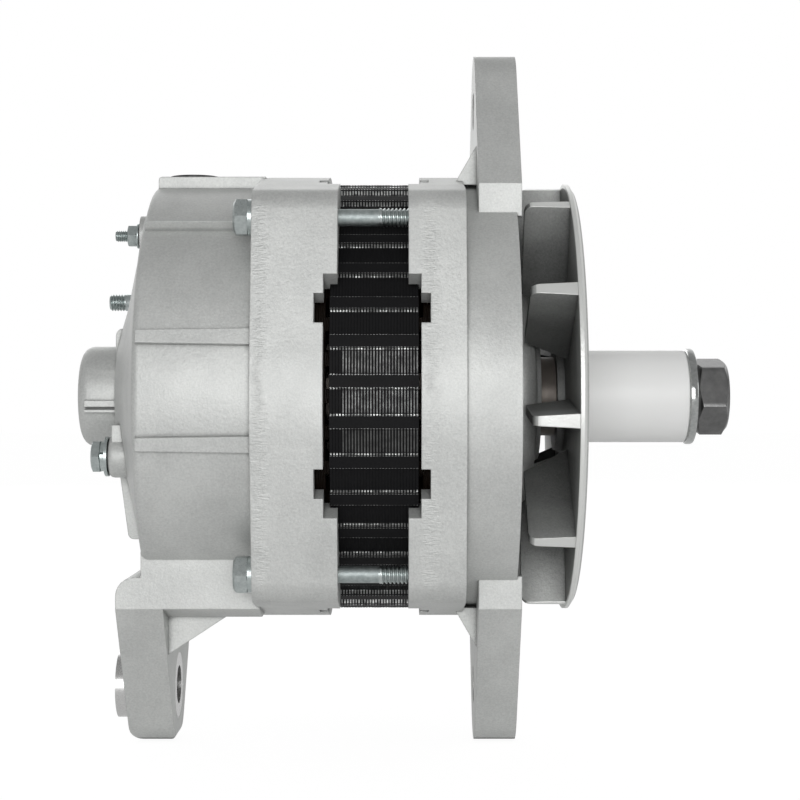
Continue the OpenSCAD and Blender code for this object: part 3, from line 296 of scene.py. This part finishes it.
def show(mesh, name, body, finish, replaced=()):
    """Puts a finished mesh into the scene as a piece that rides on a body, in place of CAD nodes if any."""
    piece = bpy.data.objects.new(name, mesh)
    bpy.context.scene.collection.objects.link(piece)
    mesh.materials.clear()
    mesh.materials.append(finish.material)
    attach(piece, body)
    if replaced:
        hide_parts(*replaced)


FACET_HALF = math.radians(5)
LEAST_LEAN = 0.07
MOST_LEAN = 0.42


def read(items, name, kind=np.int32, width=1):
    """One property of all vertices, corners or faces of a mesh, as an array."""
    values = np.empty(len(items) * width, kind)
    items.foreach_get(name, values)
    return values if width == 1 else values.reshape(-1, width)


def follow_cone(mesh):
    """Gives the narrow facets of a shallow cone round the shaft the cone's own normals, so that the uneven
    triangles don't show: lean = sine of the tilt, and the normal = (cosine, lean cos turn, lean sin turn)."""
    corner_vertex = read(mesh.loops, "vertex_index")
    points = read(mesh.vertices, "co", np.float32, 3)
    normals = read(mesh.polygons, "normal", np.float32, 3)
    start = read(mesh.polygons, "loop_start")
    face = np.repeat(np.arange(len(start)), read(mesh.polygons, "loop_total"))
    point_turn = np.arctan2(points[:, 2] - AXIS_Z, points[:, 1])
    face_turn = np.arctan2(normals[:, 2], normals[:, 1])
    off = np.abs(np.mod(point_turn[corner_vertex] - face_turn[face] + np.pi, math.tau) - np.pi)
    lean = np.hypot(normals[:, 1], normals[:, 2])
    on_cone = (lean > LEAST_LEAN) & (lean < MOST_LEAN) & (np.maximum.reduceat(off, start) < FACET_HALF)
    corners = on_cone[face]
    least = np.full(len(points), 1.0)
    most = np.zeros(len(points))
    np.minimum.at(least, corner_vertex[corners], lean[face[corners]])
    np.maximum.at(most, corner_vertex[corners], lean[face[corners]])
    corner_lean = ((least + most) / 2)[corner_vertex]
    turn = point_turn[corner_vertex]
    along = np.sign(normals[face, 0]) * np.sqrt(1 - corner_lean ** 2)
    smooth = np.stack([along, corner_lean * np.cos(turn), corner_lean * np.sin(turn)], 1)
    smooth[~corners] = 0
    mesh.normals_split_custom_set(smooth.tolist())


def smooth_copy(node, name, body, finish):
    """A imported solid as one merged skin, smooth where it is curved, in place of its loose triangles."""
    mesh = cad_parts[node].data.copy()
    if mesh.has_custom_normals:
        mesh.attributes.remove(mesh.attributes["custom_normal"])
    skin = bmesh.new()
    skin.from_mesh(mesh)
    bmesh.ops.remove_doubles(skin, verts=skin.verts, dist=3e-6)
    bmesh.ops.dissolve_limit(skin, angle_limit=math.radians(0.4), verts=skin.verts, edges=skin.edges)
    skin.to_mesh(mesh)
    skin.free()
    mesh.shade_smooth()
    mesh.set_sharp_from_angle(angle=math.radians(30))
    follow_cone(mesh)
    show(mesh, name, body, finish, (node,))


PALE_CAST = (0.66, 0.67, 0.655)
DARK_CAST = (0.52, 0.53, 0.52)
FRAME_EDGE = 0.0005
front_metal = cast_finish("cast front frame", PALE_CAST, DARK_CAST, FRAME_EDGE, [(-0.0265, -0.0195)])
smooth_copy("drive_end_frame", "drive_end_casting", "housing", front_metal)


# Rear frame
# The same alloy and blasting, with stiffening ribs along the body, a foot below and bosses for the terminals.
rear_metal = cast_finish("cast rear frame", PALE_CAST, DARK_CAST, FRAME_EDGE, [(-0.0785, -0.0725)])
smooth_copy("rear_frame", "rear_casting", "housing", rear_metal)


# Stator stack
# Steel sheets just under a millimetre thick, welded in a stack and dipped in black varnish.
# Each sheet edge shows as a bright tick on the corners of the 36 ribs, and as a grey line in the grooves; the
# lines are a painted reflection, drawn only at mid height, and painted shadow leaves them out at the rear end.
STACK_FRONT = -0.0265
STACK_REAR = -0.0541
STACK_R = 0.0724
GROOVE_R = 0.0704
HIDDEN_R = 0.0698
OVERLAY = 0.0001
RIBS = 36
RIB_HALF = 0.00205
RIB_PHASE = 6.4
SHEETS = 29
# The grey groove lines hold painted light: left out rear of the first x as painted shadow, and kept within the
# half height of the middle height as a painted reflection.
UNSHADED_PAST_X = -0.0505
GLINT_MID_Z = 0.0979
GLINT_HALF = 0.0185


def grid_mesh(name, points, wrap_rows=True, wrap_columns=True, angle=35, marks=None):
    """A mesh of quads over a grid of points (rows, columns, 3), closed in the ways that wrap.

    Coinciding points are merged, so a pole closes, and open ends get a cap. marks are values per point."""
    rows, columns = points.shape[:2]
    number = np.arange(rows * columns).reshape(rows, columns)
    right = np.roll(number, -1, axis=1)
    below = np.roll(number, -1, axis=0)
    corner = np.roll(right, -1, axis=0)
    quads = np.stack([number, right, corner, below], axis=-1)
    quads = quads[: rows if wrap_rows else rows - 1, : columns if wrap_columns else columns - 1]
    mesh = bpy.data.meshes.new(name)
    mesh.from_pydata(points.reshape(-1, 3), [], quads.reshape(-1, 4).tolist())
    for label, values in (marks or {}).items():
        layer = mesh.attributes.new(label, "FLOAT", "POINT")
        layer.data.foreach_set("value", np.ascontiguousarray(values, dtype=np.float32).reshape(-1))
    skin = bmesh.new()
    skin.from_mesh(mesh)
    bmesh.ops.remove_doubles(skin, verts=skin.verts, dist=1e-7)
    bmesh.ops.holes_fill(skin, edges=[e for e in skin.edges if e.is_boundary])
    bmesh.ops.recalc_face_normals(skin, faces=skin.faces)
    skin.to_mesh(mesh)
    skin.free()
    mesh.shade_smooth()
    mesh.set_sharp_from_angle(angle=math.radians(angle))
    return mesh


def around(radius, x, turn, at=(0.0, AXIS_Z)):
    """Points at a radius and a turn round a line along the shaft through at, for arrays of one shape."""
    return np.stack([x + 0 * radius, at[0] + radius * np.cos(turn), at[1] + radius * np.sin(turn)], axis=-1)


def sheet_stack():
    """Outside of the stack: radius = rib, or the flat floor of a groove, by the turn, less a fine V between
    two sheets by the place along the shaft. Rows run along it and back inside a hidden tube, to close it."""
    pitch = (STACK_FRONT - STACK_REAR) / SHEETS
    rib_half = RIB_HALF / STACK_R
    step = math.tau / RIBS
    corners = np.array([-1.02, -0.97, -0.9, 0.9, 0.97, 1.02]) * rib_half / step
    corners = np.concatenate([[-0.5, -0.36, -0.225, -0.215], corners, [0.215, 0.225, 0.36]])
    on_rib = np.abs(corners) < rib_half / step
    turn = ((np.arange(RIBS)[:, None] + corners) * step + math.radians(RIB_PHASE)).reshape(-1)
    floor = GROOVE_R / np.cos((0.5 - np.abs(corners)) * step)
    outside = np.tile(np.where(on_rib, STACK_R, floor) + OVERLAY, RIBS)
    notch = np.tile(np.where(np.abs(corners) < 0.95 * rib_half / step, OVERLAY / 10, OVERLAY), RIBS)
    share = np.tile([0.0, 0.12, 0.88], SHEETS) + np.repeat(np.arange(SHEETS), 3)
    x = np.append(STACK_REAR + share * pitch, STACK_FRONT)
    gap = np.append(np.tile([1.0, 0.0, 0.0], SHEETS), 1.0)
    radius = outside[None, :] - gap[:, None] * notch[None, :]
    inner = np.full((2, radius.shape[1]), HIDDEN_R)
    rows = np.concatenate([radius, inner])
    along = np.concatenate([x, [STACK_FRONT - OVERLAY, STACK_REAR + OVERLAY]])
    edge = np.tile(np.isin(np.arange(len(corners)), [4, 5, 8, 9]), RIBS)
    edge_mark = np.concatenate([np.repeat(edge[None, :], len(x), axis=0), np.zeros_like(inner)]) * 1.0
    bare_or_glint = np.tile(np.abs(corners) > 0.22, RIBS)
    floor_mark = np.concatenate([np.repeat(bare_or_glint[None, :], len(x), axis=0), np.zeros_like(inner)]) * 1.0
    return grid_mesh("sheet edges", around(rows, along[:, None], turn[None, :]), angle=25,
                     marks={"rib_edge": edge_mark, "groove_floor": floor_mark})


varnish = Finish("black stator varnish", Specular_IOR_Level=0.1)
along_x, _, across_z = varnish.axes()
sheet_pitch = (STACK_FRONT - STACK_REAR) / SHEETS
sheet_count = (along_x - STACK_REAR) / sheet_pitch
sheet_place = varnish.node("ShaderNodeMath", {"operation": "FRACT"}, {0: sheet_count})
sheet_middle = 1 - abs(sheet_place - 0.5) * 2
rib_edge = varnish.node("ShaderNodeAttribute", {"attribute_name": "rib_edge"}, out="Fac")
groove_floor = varnish.node("ShaderNodeAttribute", {"attribute_name": "groove_floor"}, out="Fac")
chips = varnish.noise(0.0025, 3, 0.6)
fine_chips = varnish.noise(0.0008, 2, 0.6)
tick = rib_edge * varnish.steps(sheet_middle, (0.35, 0.0), (0.6, 1.0))
tick = tick * varnish.steps(chips, (0.4, 0.3), (0.6, 1.0))
line = groove_floor * varnish.steps(sheet_middle, (0.45, 0.0), (0.75, 1.0))
# Painted shadow: no groove lines in the sheets at the rear end of the stack.
line = line * varnish.steps(chips, (0.35, 0.5), (0.65, 1.0)) * (along_x > UNSHADED_PAST_X)
# Painted reflection: groove lines only near mid height, where the front lamp is mirrored.
line = line * (abs(across_z - GLINT_MID_Z) < GLINT_HALF)
# Metal shows at the ticks on the rib edges and along the groove lines, whose placement is painted reflection
# and shadow.
bare_or_glint = tick.maths("MAXIMUM", tick, line)
black_coat = varnish.blend(fine_chips, (0.006, 0.006, 0.0065), (0.011, 0.011, 0.012))
sheet_steel = varnish.blend(rib_edge, (0.12, 0.122, 0.12), (0.78, 0.79, 0.78))
varnish.set(
    Base_Color=varnish.blend(bare_or_glint, black_coat, sheet_steel),
    Metallic=bare_or_glint,
    Roughness=(1 - bare_or_glint) * 0.25 + 0.26 + varnish.noise(0.003) * 0.08,
    Normal=varnish.bump(varnish.noise(0.0009), 0.00004, 0.5),
)
show(sheet_stack(), "stator_sheet_edges", "housing", varnish)
stack_inside = Finish("varnished stack", Roughness=0.42, Metallic=0.1)
stack_grain = stack_inside.noise(0.002)
stack_inside.set(Base_Color=stack_inside.blend(stack_grain, (0.012, 0.012, 0.013), (0.03, 0.03, 0.03)))


def dress(finish, *nodes):
    """Gives CAD nodes a finish."""
    for node in nodes:
        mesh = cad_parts[node].data
        mesh.materials.clear()
        mesh.materials.append(finish.material)


dress(stack_inside, "stator_core")


def wound(finish, dark, pale, smoothest):
    """Wires laid side by side along the shaft: two tones, and a wavy relief of rows."""
    rows = finish.node("ShaderNodeTexWave", {"wave_type": "BANDS", "bands_direction": "X"}, {
        "Vector": finish.place, "Scale": 320, "Distortion": 2.5, "Detail": 1})
    finish.set(
        Base_Color=finish.blend(finish.noise(0.004), dark, pale),
        Roughness=smoothest + finish.noise(0.002) * 0.15,
        Normal=finish.bump(rows, 0.0004, 0.8),
    )
    return finish


winding = Finish("varnished winding", Specular_IOR_Level=0.3)
dress(wound(winding, (0.008, 0.006, 0.005), (0.02, 0.013, 0.009), 0.32), "stator_winding")
copper = Finish("enamelled copper", Metallic=0.75, Coat_Weight=0.6, Coat_Roughness=0.12)
dress(wound(copper, (0.36, 0.12, 0.035), (0.6, 0.25, 0.09), 0.3), "phase_leads", "field_coil")


# Through bolts
# Four zinc-plated bolts clamp the two frames on the stack. Each shank is thinner than its thread, and duller.
# The head, with a split lock washer, seats on the rear flange, and the thread ends in the drive-end frame.
def resample(points, step):
    """Points along a bent line with no gap longer than step: each leg is cut into equal parts."""
    points = np.asarray(points, float)
    legs = np.diff(points, axis=0)
    parts = np.maximum(1, np.ceil(np.hypot(legs[:, 0], legs[:, 1]) / step)).astype(int)
    share = np.concatenate([np.arange(n) / n for n in parts])
    which = np.repeat(np.arange(len(parts)), parts)
    return np.vstack([points[which] + legs[which] * share[:, None], points[-1:]])


def turned(outline, at, columns=64):
    """A lathe shape: a bent line of (x, radius) turned round a line along the shaft through at."""
    outline = np.asarray(outline, float)
    turn = np.arange(columns) * math.tau / columns
    return around(outline[:, 1:2] + 0 * turn, outline[:, 0:1], turn[None, :], at)


def hexagonal(outline, flats, at, turn_degrees=0.0, step=0.0003, columns=96):
    """A hexagon cut by a lathe shape: the radius is the smaller of the outline's and the flat's,
    which is half the width across the flats over the cosine of the turn from the flat's middle."""
    line = resample(outline, step)
    turn = np.arange(columns) * math.tau / columns
    third = math.pi / 3
    off_flat = np.mod(turn - math.radians(turn_degrees) - third / 2, third) - third / 2
    flat = flats / 2 / np.cos(off_flat)
    flat = np.minimum(flat, flats / 2 / math.cos(math.pi / 6) * 0.99)
    return around(np.minimum(line[:, 1:2], flat[None, :]), line[:, 0:1], turn[None, :], at)


THREAD_ROWS = 8


def threaded(start, end, radius, pitch, depth, at, columns=40, fade=1.0):
    """A screw thread: radius = crest less depth times a rounded triangle wave of place / pitch less the share
    of a full turn, fading out over the first fade pitches. Both ends run to the axis."""
    count = int(abs(end - start) / pitch * THREAD_ROWS) + 1
    x = np.linspace(start, end, count)[:, None]
    turn = (np.arange(columns) * math.tau / columns)[None, :]
    phase = np.mod((x - start) / pitch - turn / math.tau, 1.0)
    groove = np.clip(1.25 - np.abs(phase - 0.5) * 3.2, 0.0, 1.0)
    groove = groove * np.clip(np.abs(x - start) / (pitch * fade), 0.0, 1.0)
    r = radius - depth * groove
    tip = np.clip(np.abs(end - x) / (pitch * 0.8), 0.0, 1.0)
    r = np.minimum(r, radius - depth * (1 - tip))
    grid = around(r, x, turn, at)
    first = around(0 * turn, start + 0 * turn, turn, at)
    last = around(0 * turn, end + 0 * turn, turn, at)
    return np.concatenate([first, grid, last])


def rod(grid):
    """The mesh of a grid whose first and last rows lie on its axis."""
    return grid_mesh("rod", grid, wrap_rows=False)


def joined(name, parts):
    """One mesh out of several closed ones, which are used up."""
    skin = bmesh.new()
    for part in parts:
        skin.from_mesh(part)
        bpy.data.meshes.remove(part)
    mesh = bpy.data.meshes.new(name)
    skin.to_mesh(mesh)
    skin.free()
    mesh.shade_smooth()
    mesh.set_sharp_from_angle(angle=math.radians(35))
    return mesh


def split_washer(face, thick, r_in, r_out, at, gap_at=1.2, rise=0.00018):
    """The mesh of a spring washer: a square section swept through 351 degrees, which rises a little."""
    turn = np.linspace(0.08, math.tau - 0.08, 60) + gap_at
    lift = np.linspace(-rise, 0, 60)[None, :]
    bevel = 0.00012
    section = np.array([(0, r_in + bevel), (0, r_out - bevel), (bevel, r_out), (thick - bevel, r_out),
                        (thick, r_out - bevel), (thick, r_in + bevel), (thick - bevel, r_in), (bevel, r_in)])
    grid = around(section[:, 1:2] + 0 * lift, face + section[:, 0:1] + lift, turn[None, :], at)
    return grid_mesh("split washer", grid, wrap_columns=False)


def zinc_finish(name, cloud_size, pale, rolled=None):
    """Bright zinc plating. rolled is the stretch of a rolled shank along x, where the plating is duller."""
    finish = Finish(name, Metallic=1.0)
    cloud = finish.noise(cloud_size, 3, 0.6)
    scuff = finish.noise(0.0004, 2, 0.6, finish.stretched((1, 6, 6)))
    roughness = scuff * 0.2 + 0.2
    relief = finish.bump(scuff, 0.00002, 0.5)
    if rolled:
        place_x = finish.axes()[0]
        dull = (place_x > rolled[0]) * (place_x < rolled[1])
        cloud = cloud - dull * 0.25
        roughness = roughness + dull * 0.22
    finish.set(Base_Color=finish.blend(cloud, (0.3, 0.34, 0.34), pale), Roughness=roughness, Normal=relief)
    return finish


SHANK_REAR = -0.0802
SHANK_FRONT = -0.0388
SHANK_R = 0.0027
ROLLED = (SHANK_REAR, SHANK_FRONT - 0.0002)
BOLT_OFF = 0.0562149
BOLT_PLACES = [(side * BOLT_OFF, AXIS_Z + height * BOLT_OFF) for side in (-1, 1) for height in (-1, 1)]
zinc = zinc_finish("bright zinc plating", 0.0016, (0.62, 0.67, 0.66))
bolt_zinc = zinc_finish("zinc on rolled shanks", 0.0014, (0.66, 0.7, 0.69), ROLLED)
bolt_head = [(-0.0801, 0), (-0.0801, 0.0053), (-0.0804, 0.0072), (-0.0831, 0.0072), (-0.0842, 0.0054),
             (-0.0847, 0.0047), (-0.0847, 0)]
shank = [(SHANK_REAR, 0), (SHANK_REAR, SHANK_R), (SHANK_FRONT, SHANK_R), (-0.0384, 0.00262), (-0.0384, 0)]
bolt_parts = []
for place in BOLT_PLACES:
    bolt_parts.append(rod(hexagonal(bolt_head, 0.0111, place, 30)))
    bolt_parts.append(rod(turned(shank, place, 48)))
    bolt_parts.append(rod(threaded(-0.0387, -0.0146, 0.003, 0.00125, 0.0006, place, 48)))
show(joined("bolts", bolt_parts), "through_bolt_set", "housing", bolt_zinc, ("through_bolts",))
lock_washers = [split_washer(-0.0801, 0.0016, 0.0028, 0.00577, place) for place in BOLT_PLACES]
show(joined("lock washers", lock_washers), "through_bolt_lock_washers", "housing", zinc,
     ("through_bolt_washers",))


# Terminals on the rear frame
# Two threaded studs in black insulating sleeves, the upper one with its nut and washer, and a ground screw.
OUTPUT_AT = (0.025, AXIS_Z + 0.0337)
RELAY_AT = (0.012, AXIS_Z + 0.0564)
GROUND_AT = (-0.025, AXIS_Z - 0.02)
output_shank = [(-0.1304, 0), (-0.1304, 0.00285), (-0.1301, 0.003), (-0.1254, 0.003), (-0.1254, 0.00275),
                (-0.0986, 0.00275), (-0.0986, 0)]
output_head = [(-0.1015, 0), (-0.1015, 0.0049), (-0.1012, 0.0058), (-0.0983, 0.0058), (-0.0981, 0.0052),
               (-0.0981, 0)]
output_parts = [
    rod(threaded(-0.1302, -0.1362, 0.003, 0.001, 0.00055, OUTPUT_AT, 48)),
    rod(turned(output_shank, OUTPUT_AT, 48)),
    rod(hexagonal(output_head, 0.0100, OUTPUT_AT)),
]
show(joined("output stud", output_parts), "output_stud_threaded", "housing", zinc,
     ("output_stud",))
relay_shank = [(-0.1279, 0), (-0.1279, 0.00175), (-0.1090, 0.00175), (-0.1090, 0)]
relay_head = [(-0.1105, 0), (-0.1105, 0.0039), (-0.1079, 0.0039), (-0.1079, 0)]
relay_parts = [
    rod(threaded(-0.1276, -0.1322, 0.002, 0.0007, 0.0004, RELAY_AT, fade=0.3)),
    rod(turned(relay_shank, RELAY_AT, 40)),
    rod(hexagonal(relay_head, 0.007, RELAY_AT)),
]
show(joined("relay stud", relay_parts), "relay_stud_threaded", "housing", zinc,
     ("relay_stud",))
nut_outline = [(-0.1246, 0.00175), (-0.1246, 0.0034), (-0.1249, 0.0041), (-0.1275, 0.0041),
               (-0.1278, 0.0034), (-0.1278, 0.0019), (-0.1276, 0.00175)]
nut_grid = hexagonal(nut_outline, 0.007, RELAY_AT, 30, 0.0002)
show(grid_mesh("relay nut", nut_grid), "relay_nut", "housing", zinc, ("relay_stud_nut",))
washer_outline = [(-0.1238, 0.00175), (-0.1238, 0.0043), (-0.12395, 0.0044), (-0.12445, 0.0044),
                  (-0.1246, 0.0043), (-0.1246, 0.00175)]
relay_washer = grid_mesh("relay washer", turned(washer_outline, RELAY_AT))
show(relay_washer, "relay_washer", "housing", zinc, ("relay_stud_washer",))
screw_head = [(-0.1314, 0), (-0.1314, 0.0049), (-0.1317, 0.0062), (-0.1336, 0.0062), (-0.1341, 0.0050),
              (-0.1344, 0.0044), (-0.1344, 0)]
screw_parts = [
    rod(hexagonal(screw_head, 0.010, GROUND_AT, 30)),
    rod(threaded(-0.1315, -0.1194, 0.003, 0.001, 0.0005, GROUND_AT)),
]
show(joined("ground screw", screw_parts), "ground_screw_threaded", "housing", zinc,
     ("ground_screw",))
flat_washer = [(-0.1288, 0.0030), (-0.1288, 0.0065), (-0.12892, 0.0066), (-0.12985, 0.0066),
               (-0.13, 0.00645), (-0.13, 0.0030)]
ground_washers = [
    grid_mesh("flat washer", turned(flat_washer, GROUND_AT)),
    split_washer(-0.1314, 0.0014, 0.0031, 0.0049, GROUND_AT, 2.9, 0.0),
]
show(joined("ground washers", ground_washers), "ground_washers", "housing", zinc,
     ("ground_screw_washer",))

bakelite = Finish("black moulded plastic", Roughness=0.45)
bakelite.set(
    Base_Color=bakelite.blend(bakelite.noise(0.003), (0.012, 0.012, 0.013), (0.03, 0.03, 0.031)),
    Normal=bakelite.bump(bakelite.noise(0.0004), 0.00002, 0.5),
)
dress(bakelite, "output_stud_insulator", "relay_stud_insulator", "top_plug", "heat_sink_insulator",
      "voltage_regulator", "brush_holder")


# Fan
# One aluminium casting: a disc with eleven flat radial blades on its rear side, thicker at the disc.
# The disc's rim and the ends of the blades were turned.
PALE_FAN = (0.6, 0.61, 0.595)
DARK_FAN = (0.44, 0.45, 0.44)
# Painted shade: the bottom of the hollows between the blades is darkened almost to black.
fan_metal = cast_finish("cast fan", PALE_FAN, DARK_FAN, 0.0004, pocket_shade=0.12, lathe=0.0714)
smooth_copy("fan", "cast_fan", "rotor", fan_metal)


# Sleeve, washer and nut on the pulley seat
# A white plastic sleeve stands in the pulley's place, held by a plated washer and a blackened steel nut.
SHAFT_AT = (0.0, AXIS_Z)
sleeve_outline = [(0.0259, 0.0111), (0.0259, 0.0155), (0.0262, 0.0158), (0.0653, 0.0158), (0.0656, 0.0155),
                  (0.0656, 0.0111)]
white = Finish("white moulded sleeve", Roughness=0.42)
white.set(
    Base_Color=white.blend(white.noise(0.012, 3), (0.93, 0.935, 0.92), (0.97, 0.97, 0.965)),
    Normal=white.bump(white.noise(0.0015), 0.00002, 0.4),
)
sleeve = grid_mesh("sleeve", turned(sleeve_outline, SHAFT_AT, 128))
show(sleeve, "white_sleeve", "rotor", white, ("shipping_sleeve",))
pulley_washer_outline = [
    (0.0656, 0.00795), (0.0656, 0.0158), (0.0660, 0.0164), (0.0664, 0.0165), (0.0677, 0.0165),
    (0.0683, 0.0162), (0.0686, 0.0155), (0.0686, 0.00795)]
polished = Finish("polished washer", Metallic=1.0)
polished_scuff = polished.noise(0.0012, 3, 0.6)
polished.set(
    Base_Color=polished.blend(polished_scuff, (0.26, 0.27, 0.265), (0.54, 0.55, 0.545)),
    Roughness=polished_scuff * 0.15 + 0.06,
)
pulley_washer = grid_mesh("washer", turned(resample(pulley_washer_outline, 0.0008), SHAFT_AT, 128))
show(pulley_washer, "bright_washer", "rotor", polished, ("pulley_washer",))
pulley_nut_outline = [
    (0.0686, 0.0079), (0.0686, 0.0116), (0.0696, 0.0119), (0.0699, 0.0122), (0.0707, 0.0139),
    (0.0779, 0.0139), (0.0788, 0.0124), (0.0798, 0.0112), (0.0798, 0.0086), (0.0791, 0.0079)]
NUT_FLATS = 0.0238
NUT_TURN = 30 + 14.8
black_steel = Finish("blackened steel", Metallic=0.85, Coat_Weight=0.6, Coat_Roughness=0.12)
steel_cloud = black_steel.noise(0.004, 4, 0.6)
steel_grain = black_steel.noise(0.0006, 3, 0.6)
black_steel.set(
    Base_Color=black_steel.blend(steel_cloud, (0.06, 0.06, 0.06), (0.19, 0.19, 0.188)),
    Roughness=steel_grain * 0.25 + 0.22,
    Normal=black_steel.bump(steel_grain, 0.00005, 0.5),
)
pulley_nut = grid_mesh("nut", hexagonal(pulley_nut_outline, NUT_FLATS, SHAFT_AT, NUT_TURN, 0.0004, 120))
show(pulley_nut, "blackened_nut", "rotor", black_steel, ("pulley_nut",))


# Shaft, bearings and inner pieces
# Ground steel shaft and bearing races, turned iron poles, copper slip rings, and the rectifier and regulator.
ground_steel = Finish("ground steel", Metallic=1.0)
ground_lines = ground_steel.noise(0.0005, 2, 0.6, ground_steel.stretched((6, 1, 1)))
ground_steel.set(
    Base_Color=ground_steel.blend(ground_lines, (0.5, 0.5, 0.5), (0.68, 0.68, 0.67)),
    Roughness=ground_lines * 0.15 + 0.2,
)
dress(ground_steel, "rotor_shaft", "front_bearing_outer_race", "front_bearing_inner_race",
      "front_bearing_balls", "rear_bearing_cup", "rear_bearing_inner_race", "rear_bearing_rollers",
      "pivot_bushing")
dress(zinc, "bearing_retainer", "bearing_retainer_screws", "heat_sink_screws", "brush_holder_screws")


def two_tone(name, size, dark, pale, rough=None, **plain):
    """Cloudy blotches of two tones, size metres across. rough is the roughness's spread and its least."""
    finish = Finish(name, **plain)
    finish.set(Base_Color=finish.blend(finish.noise(size), dark, pale))
    if rough:
        finish.set(Roughness=finish.noise(0.001) * rough[0] + rough[1])
    return finish


brass = two_tone("cage brass", 0.002, (0.55, 0.38, 0.14), (0.7, 0.5, 0.22), (0.2, 0.25), Metallic=1.0)
dress(brass, "front_bearing_cage", "rear_bearing_cage")

pole_iron = Finish("varnished pole iron", Metallic=0.6)
pole_iron.set(
    Base_Color=pole_iron.blend(pole_iron.noise(0.006, 4), (0.1, 0.085, 0.075), (0.2, 0.18, 0.16)),
    Roughness=pole_iron.noise(0.002) * 0.2 + 0.35,
    Normal=pole_iron.bump(pole_iron.noise(0.0012), 0.0001, 0.4),
)
dress(pole_iron, "front_pole_piece", "rear_pole_piece", "rotor_core", "fan_spacer")

nylon = two_tone("bobbin nylon", 0.004, (0.42, 0.34, 0.22), (0.55, 0.46, 0.32), Roughness=0.5)
dress(nylon, "coil_bobbin", "slip_ring_sleeve")

ring_copper = Finish("slip ring copper", Metallic=1.0)
ring_lines = ring_copper.noise(0.0006, 2, 0.5, ring_copper.stretched((6, 1, 1)))
ring_copper.set(
    Base_Color=ring_copper.blend(ring_copper.noise(0.002), (0.6, 0.28, 0.14), (0.8, 0.45, 0.28)),
    Roughness=ring_lines * 0.2 + 0.15,
)
dress(ring_copper, "slip_rings")

sink_metal = two_tone(
    "extruded aluminium", 0.004, (0.55, 0.56, 0.57), (0.72, 0.72, 0.73), (0.2, 0.3), Metallic=0.9)
dress(sink_metal, "positive_heat_sink", "negative_heat_sink")

nickel = two_tone("nickel plating", 0.002, (0.48, 0.47, 0.45), (0.66, 0.65, 0.62), (0.15, 0.2), Metallic=1.0)
dress(nickel, "positive_diodes", "negative_diodes", "capacitor")

board = two_tone("circuit board", 0.003, (0.02, 0.12, 0.045), (0.03, 0.18, 0.07), Roughness=0.4)
dress(board, "diode_trio")

carbon = two_tone("brush carbon", 0.0006, (0.02, 0.02, 0.02), (0.07, 0.06, 0.055), Roughness=0.7)
carbon.set(Normal=carbon.bump(carbon.noise(0.0005), 0.00005, 0.5))
dress(carbon, "front_brush", "rear_brush")

spring_wire = Finish("spring wire", Metallic=1.0, Roughness=0.3)
spring_turns = spring_wire.node("ShaderNodeTexWave", {"wave_type": "BANDS", "bands_direction": "Z"}, {
    "Vector": spring_wire.place, "Scale": 200})
spring_wire.set(
    Base_Color=spring_wire.blend(spring_turns, (0.12, 0.12, 0.12), (0.6, 0.6, 0.6)),
    Normal=spring_wire.bump(spring_turns, 0.0004),
)
dress(spring_wire, "front_brush_spring", "rear_brush_spring")
